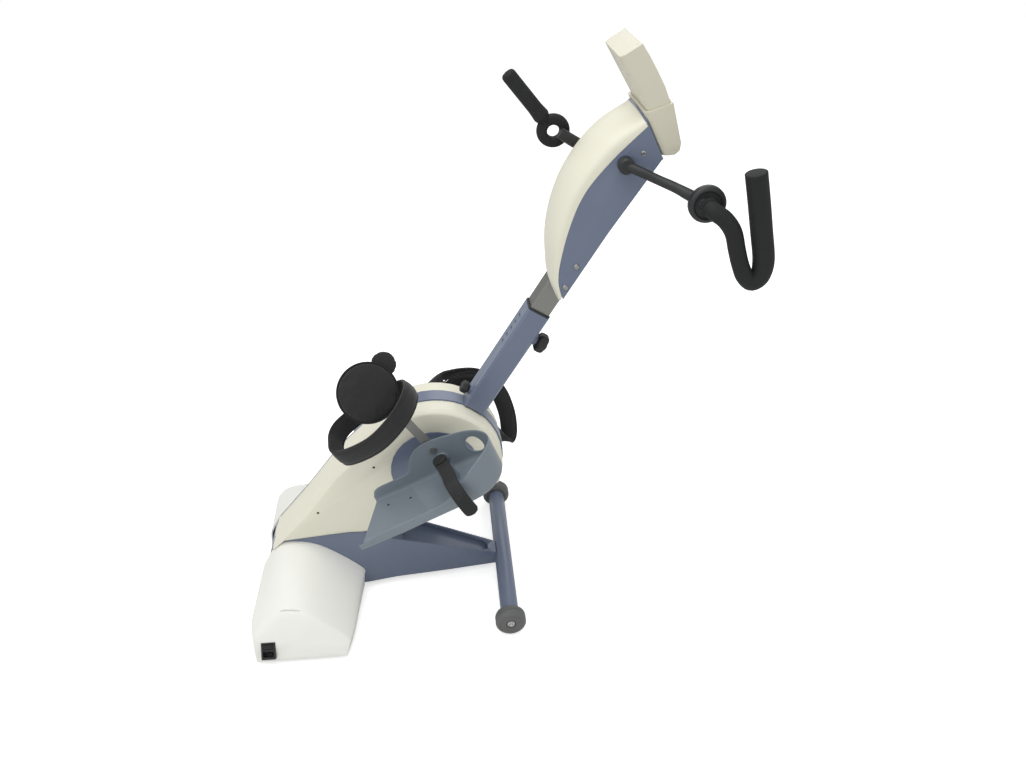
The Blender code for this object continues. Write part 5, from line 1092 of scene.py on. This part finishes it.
def strapSection(share):
    # fat in the middle, nipped where the edge is sewn
    half, inset = straps["wide"] / 2, straps["stitchInset"]
    thick = straps["thick"] * (0.55 + 0.45 * freeShare(share))
    edge = [(-0.44, half), (0.0, half + 0.0008), (0.44, half), (0.5, half - inset * 0.6),
            (0.34, half - inset), (0.6, half - inset * 1.6), (0.92, half * 0.45), (1.0, 0)]
    right = [(a * thick, b) for a, b in edge]
    ring = right + [(a, -b) for a, b in right[-2::-1]]
    ends = (ring[0], ring[-1])
    return ring + [(-a, b) for a, b in ring[::-1] if abs(a) > thick * 0.05 and (a, b) not in ends]


def makeCalfStrap(side):
    name = sideName[side]
    body = "pad_" + name
    seat, along, across, out = guideFrame(side)
    behind = straps["behind"]
    route = [seat + across * p + out * (q + behind) + along * t for p, q, t in straps["route"][side]]

    def width(share):
        twist = straps["twist"][side] * ((1 - math.cos(2 * math.pi * share)) / 2)
        return (along * (1 - 0.65 * twist) + across * twist).normalized()

    mesh = bmesh.new()
    sweepInto(mesh, smoothPath(route, 12, True), strapSection, True, width)
    strap = addPiece("calfStrap_" + name, mesh, "knitFoam", body, 70, ["calf_strap_" + name])
    makeFiner(strap)
    # a row of stitches on each face along both edges, sunk in the nip
    fine = smoothPath(route, 60, True)
    travelled = 0.0
    last = 0.0
    mesh = bmesh.new()
    for index in range(1, len(fine)):
        travelled += (fine[index] - fine[index - 1]).length
        if travelled - last < straps["stitchStep"]:
            continue
        last = travelled
        share = index / len(fine)
        if freeShare(share) < 1:
            continue
        run = (fine[(index + 1) % len(fine)] - fine[index - 1]).normalized()
        sideways = run.cross(width(share)).normalized()
        above = sideways.cross(run)
        turn = Matrix((run, above, sideways)).transposed()
        for edge in (-1, 1):
            for front in (-1, 1):
                spot = fine[index] + above * edge * (straps["wide"] / 2 - straps["stitchInset"])
                barInto(mesh, spot + sideways * front * (straps["thick"] * 0.4), straps["stitch"], turn)
    addPiece("strapStitches_" + name, mesh, "stitchThread", body, 60)


for side in sideName:
    makeCalfPad(side)
    makeCalfStrap(side)
print("calf pads and straps made")

# Head cover: one blow-moulded D-section that narrows to a tip at the telescopic tube. Its seam meets the
# head's side plates, and its edge is the front in the side view
headCover = {
    "top": (0.256, 1.014),
    "back": (0.285, 0.955),
    "seam": [(0.198, 0.958), (0.153, 0.902), (0.128, 0.843), (0.112, 0.778), (0.108, 0.735),
             (0.115, 0.7)],
    "edge": [(0.191, 1.002), (0.143, 0.948), (0.109, 0.88), (0.093, 0.806), (0.095, 0.734), (0.1, 0.708),
             (0.1085, 0.689)],
    "nose": 0.0205,
    "half": 0.0755,
    "wall": 0.0025,
    "fullness": 0.62,
    "tubeHole": (0.0418 + 0.0012, 0.0438 + 0.0012),
    "holeReach": 0.1503,
}


def sideCurve(points):
    return [(point.x, point.z) for point in smoothPath([(x, 0, z) for x, z in points], 8)]


def coverSection(front, back, half, wall, steps=26):
    front, back = at(front[0], 0, front[1]), at(back[0], 0, back[1])
    reach = front - back
    shrink = 1 - wall / max(reach.length, 0.02)
    ring = []
    for step in range(steps + 1):
        turn = math.pi * step / steps
        depth = max(0.0, math.sin(turn)) ** headCover["fullness"]
        ring.append(back + reach * depth * shrink + Vector((0, -half * math.cos(turn), 0)))
    return ring


def makeHeadCover():
    top = Vector(headCover["top"])
    nose = tuple(top + (top - Vector(headCover["back"])).normalized() * headCover["nose"])
    seam = sideCurve([headCover["top"]] + headCover["seam"])
    edge = sideCurve([nose] + headCover["edge"])
    half, wall = headCover["half"], headCover["wall"]
    rings = []
    for index, back in enumerate(seam):
        spot = index * (len(edge) - 1) / (len(seam) - 1)
        low = min(int(spot), len(edge) - 2)
        front = tuple(Vector(edge[low]).lerp(Vector(edge[low + 1]), spot - low))
        rings.append(coverSection(front, back, half, 0) + coverSection(front, back, half - wall, wall)[::-1])
    mesh = bmesh.new()
    joinRings(mesh, rings)
    cover = addPiece("headCover", mesh, "creamAbs", "head", 42, ["head_cover"])
    hole = softBar(*headCover["tubeHole"], 0.002)
    cutter = bmesh.new()
    joinRings(cutter, [[spot + face * a + Vector((0, b, 0)) for a, b in hole]
                       for spot in (column["top"], column["top"] + lean * headCover["holeReach"])])
    carve(cover, cutter, 42)


makeHeadCover()

# Screws: countersunk cross-head screws, each sunk a little in the surface it holds. The cross is given for a
# head of radius 1
screws = {
    "head": (0.252, 0.968),
    "headOut": 0.0752,
    "headRadius": 0.0042,
    "shell": [(-0.2361, 0.3907), (-0.2653, 0.3319), (-0.3914, 0.2233)],
    "shellOut": 0.063,
    "smallRadius": 0.0026,
    "cross": ((1.0, 0.22, 0.18), (0.22, 1.0, 0.18)),
}


def makeScrew(name, place, axis, radius, body, finish):
    profile = [(radius * 1.12, -0.0006), (radius, 0.0004), (radius * 0.82, radius * 0.22),
               (radius * 0.45, radius * 0.36), (0, radius * 0.4)]
    mesh = bmesh.new()
    turnInto(mesh, softProfile(profile, 0.0003, 2), place, axis, 32)
    addPiece(name, mesh, finish, body, 50)
    mesh = bmesh.new()
    axis = Vector(axis).normalized()
    turn = Matrix((*axisFrame(axis), axis)).transposed()
    # the cross is raised bars in near black, painted shade for the recess
    for size in screws["cross"]:
        barInto(mesh, Vector(place) + axis * radius * 0.34, [radius * share for share in size], turn)
    addPiece(name + "_cross", mesh, "paintedCrossShade", body, 50)


def shellSurface(side, x, z):
    # how far out the cream shell's face stands at a place in the side view
    data = nodes["leg_shell_" + sideName[side]].data
    corners = [vertex.co for vertex in data.vertices]
    tree = BVHTree.FromPolygons(corners, [polygon.vertices for polygon in data.polygons])
    place = tree.ray_cast(at(x, side * 0.2, z), Vector((0, -side, 0)))[0]
    return abs(place.y) if place else screws["shellOut"]


def placeScrews(side):
    name = sideName[side]
    out = (0, side, 0)
    x, z = screws["head"]
    makeScrew("headScrew_" + name, at(x, side * screws["headOut"], z), out, screws["headRadius"], "head",
              "zincSteel")
    for index, (x, z) in enumerate(screws["shell"]):
        spot = at(x, side * shellSurface(side, x, z), z)
        makeScrew(f"shellScrew_{name}_{index}", spot, out, screws["smallRadius"], "base", "blackNylon")
    place = footPlace(side)
    for index, (u, v) in enumerate(feet["screws"]):
        makeScrew(f"footScrew_{name}_{index}", place(u, v, feet["wall"] + 0.0001), footAxes(place)[2],
                  screws["smallRadius"], "foot_" + name, "blackNylon")


for side in sideName:
    placeScrews(side)

# Head bolts: place along and above the column's line, from its top; one profile for both ends
headBolts = {
    "low": (0.089, 0.005),
    "high": (0.1335, 0.0095),
    "half": [(0.006, 0.0722), (0.003, 0.0722), (0.003, 0.0753), (0.0052, 0.0753), (0.005, 0.0763),
             (0.0036, 0.0774), (0.0024, 0.0776), (0.0022, 0.0768), (0, 0.0768)],
}


def makeHeadBolt(name):
    along, above = headBolts[name]
    mesh = bmesh.new()
    profile = softProfile(bothEnds(headBolts["half"]), 0.0003, 2)
    turnInto(mesh, profile, column["top"] + lean * along + face * above, steps=40)
    addPiece("headBolt_" + name, mesh, "zincSteel", "head", 34, ["head_bolt_" + name])


for name in ("low", "high"):
    makeHeadBolt(name)
print("head cover, screws and bolts made")

# Base covers: each half is one soft vacuum-formed skin, from the frame out to its slanted end. The joint is
# its outline at the frame, the shoulder its outline at the end face, and drop how far that face falls away
baseCovers = {
    "bottom": 0.009,
    "start": 0.0563,
    "shoulderY": 0.205,
    "bulge": 0.006,
    "wall": 0.003,
    "joint": [(-0.53, 0.009), (-0.527, 0.068), (-0.52, 0.093), (-0.491, 0.135), (-0.455, 0.1455),
              (-0.394, 0.1275), (-0.316, 0.062), (-0.3115, 0.038), (-0.314, 0.009)],
    "shoulder": [(-0.53, 0.009), (-0.531, 0.05), (-0.527, 0.072), (-0.49, 0.094), (-0.452, 0.0985),
                 (-0.402, 0.087), (-0.33, 0.045), (-0.3255, 0.03), (-0.328, 0.009)],
    "drop": [0.057, 0.048, 0.037, 0.017, 0.006, 0.016, 0.036, 0.047, 0.057],
    "endMiddle": -0.43,
    "endRoll": [(0.035, 0.22), (0.08, 0.42), (0.14, 0.62), (0.22, 0.8), (0.34, 0.94), (0.52, 1.0),
                (0.75, 1.02)],
    "inletPlace": (-0.493, -0.2575, 0.0345),
    "inletHole": (0.0286, 0.05, 0.0346),
    "inletTilt": -31,
}


def coverRings(side):
    bottom, start, shoulderY = baseCovers["bottom"], baseCovers["start"], baseCovers["shoulderY"]
    joint, shoulder, drops = baseCovers["joint"], baseCovers["shoulder"], baseCovers["drop"]
    rings = [[Vector((x, side * start, z)) for x, z in joint]]
    halfway = []
    for a, b in zip(joint, shoulder):
        crown = 0.0015 if a[1] > 0.05 else 0
        halfway.append(Vector(((a[0] + b[0]) / 2, side * (start + shoulderY) / 2, (a[1] + b[1]) / 2 + crown)))
    rings.append(halfway)
    rings.append([Vector((x, side * shoulderY, z)) for x, z in shoulder])
    end = []
    for (x, z), drop in zip(shoulder, drops):
        share = drop / drops[0]
        inward = 0.01 * share * (1 if x < baseCovers["endMiddle"] else -1)
        height = bottom + (z - bottom) * (1 - 0.22 * share)
        end.append(Vector((x + inward, side * (shoulderY + drop), height)))
    return rings + [end]


def coverColumns(side):
    # lines from the joint out to the end face, where each rolls in over a soft corner towards the heart
    rings = coverRings(side)
    fine = [smoothPath(ring, 6) for ring in rings]
    columns = [smoothPath(line, 6) for line in zip(*fine)]
    heart = sum(rings[-1], Vector()) / len(rings[-1]) + Vector((0, side * 0.006, -0.004))
    bulge = Vector((0, side * baseCovers["bulge"], 0))
    for line in columns:
        last = line[-1]
        line += [last.lerp(heart, share) + bulge * lift for share, lift in baseCovers["endRoll"]]
    return columns, heart, heart + bulge * baseCovers["endRoll"][-1][1]


def makeBaseCover(side):
    name = sideName[side]
    columns, heart, middle = coverColumns(side)
    mesh = bmesh.new()

    def corner(spot):
        return mesh.verts.new(at(spot.x, spot.y, max(spot.z, baseCovers["bottom"])))

    grid = [[corner(spot) for spot in line] for line in columns]
    hub = corner(middle)
    for here, after in zip(grid, grid[1:]):
        for step in range(len(here) - 1):
            mesh.faces.new((here[step], after[step], after[step + 1], here[step + 1]))
        mesh.faces.new((here[-1], after[-1], hub))
    # the lowest part of the end face, between its two bottom corners
    left, right = grid[0], grid[-1]
    for step in range(len(left) - len(baseCovers["endRoll"]) - 1, len(left) - 1):
        mesh.faces.new((left[step], left[step + 1], right[step + 1], right[step]))
    mesh.faces.new((left[-1], hub, right[-1]))
    bmesh.ops.remove_doubles(mesh, verts=mesh.verts, dist=2e-5)
    bmesh.ops.recalc_face_normals(mesh, faces=mesh.faces)
    inside = at(heart.x, heart.y - side * 0.1, heart.z)
    if sum(polygon.normal.dot(polygon.calc_center_median() - inside) for polygon in mesh.faces) < 0:
        bmesh.ops.reverse_faces(mesh, faces=mesh.faces)
    cover = addPiece("baseCover_" + name, mesh, "whiteAbs", "base", 60,
                     ["base_cover_" + name])
    skin = cover.modifiers.new("wall", "SOLIDIFY")
    skin.thickness = baseCovers["wall"]
    skin.offset = -1
    settle(cover, 50)
    if side < 0:
        cutter = bmesh.new()
        tilt = Matrix.Rotation(math.radians(baseCovers["inletTilt"]), 3, "X")
        barInto(cutter, at(*baseCovers["inletPlace"]), baseCovers["inletHole"], tilt)
        carve(cover, cutter, 50)


for side in sideName:
    makeBaseCover(side)
print("base covers made")

# Diagonal lap: cream skin runs over the blue band on the leg unit's sloping front, up to a fine blue line.
# Its sections are (across, lift)
shellLap = {
    "axle": (-0.139, 0.318),
    "radius": 0.14,
    "turns": (114, 120, 126, 132),
    "front": [(-0.348, 0.312), (-0.424, 0.216), (-0.496, 0.1325)],
    "skin": [(-0.03, -0.0006), (-0.024, 0.001), (-0.0195, 0.0031), (-0.012, 0.0038), (0, 0.004),
             (0.012, 0.0038), (0.0195, 0.0031), (0.024, 0.001), (0.03, -0.0006), (0.03, -0.0016),
             (-0.03, -0.0016)],
    "line": [(0.0478, -0.001), (0.0478, 0.0005), (0.048, 0.0008), (0.0498, 0.0008), (0.05, 0.0005),
             (0.05, -0.001)],
}


def lapStations():
    x, z = shellLap["axle"]
    corners = []
    for turn in shellLap["turns"]:
        corners.append(Vector((x, 0, z)) + inSideView(math.radians(turn)) * shellLap["radius"])
    corners += [Vector((x, 0, z)) for x, z in shellLap["front"]]
    spots = []
    for start, end in zip(corners, corners[1:]):
        spots += [start.lerp(end, step / 4) for step in range(4)]
    spots.append(corners[-1])
    stations = []
    for index, spot in enumerate(spots):
        run = (spots[min(index + 1, len(spots) - 1)] - spots[max(index - 1, 0)]).normalized()
        stations.append((at(*spot), Vector((run.z, 0, -run.x))))
    return stations


def makeLapPiece(name, section, finish):
    mesh = bmesh.new()
    joinRings(mesh, [[spot + out * lift + Vector((0, across, 0)) for across, lift in section]
                     for spot, out in lapStations()])
    addPiece(name, mesh, finish, "base", 40)


makeLapPiece("shellLap", shellLap["skin"], "creamAbs")
makeLapPiece("shellLine", shellLap["line"], "slateBluePowder")
print("shell lap made")

# Beam channel: the beam's web lies sunk between its two side walls, with a round end near the cross tube. Its
# top is (place along, half width, height)
beamChannel = {
    "top": [(-0.225, 0.043, 0.119), (-0.12, 0.0325, 0.082), (-0.016, 0.0195, 0.0455)],
    "from": -0.222,
    "to": -0.034,
    "corner": 0.01,
    "wall": 0.004,
    "floorWall": 0.0028,
    "depth": 0.013,
    "floor": 0.0024,
    "above": 0.012,
}


def beamAt(x):
    # half width and height of the beam's top at a place along it
    tops = beamChannel["top"]
    (x0, half0, top0), (x1, half1, top1) = tops[:2] if x <= tops[1][0] else tops[1:]
    share = (x - x0) / (x1 - x0)
    return half0 + (half1 - half0) * share, top0 + (top1 - top0) * share


def channelOutline(wall, steps=10):
    start, corner = beamChannel["from"], beamChannel["corner"]
    stop = beamChannel["to"] - (wall - beamChannel["wall"])
    half = beamAt(stop)[0] - wall
    edge = [(x, beamAt(x)[0] - wall) for x in (start, beamChannel["top"][1][0], stop - corner)]
    for step in range(1, steps + 1):
        turn = math.pi / 2 * step / steps
        edge.append((stop - corner + corner * math.sin(turn), half - corner + corner * math.cos(turn)))
    return edge + [(x, -y) for x, y in edge[::-1]]


def channelBlock(wall, lifts):
    mesh = bmesh.new()
    joinRings(mesh, [[at(x, y, beamAt(x)[1] + lift) for x, y in channelOutline(wall)] for lift in lifts])
    return mesh


def makeBeamChannel():
    depth = beamChannel["depth"]
    hollow = channelBlock(beamChannel["wall"], (-depth, beamChannel["above"]))
    carve(bpy.data.objects["base_frame_skin"], hollow, 35)
    floor = channelBlock(beamChannel["floorWall"], (-depth, -depth - beamChannel["floor"]))
    addPiece("beamChannelFloor", floor, "slateBluePowder", "base", 35)


makeBeamChannel()
print("beam channel sunk")
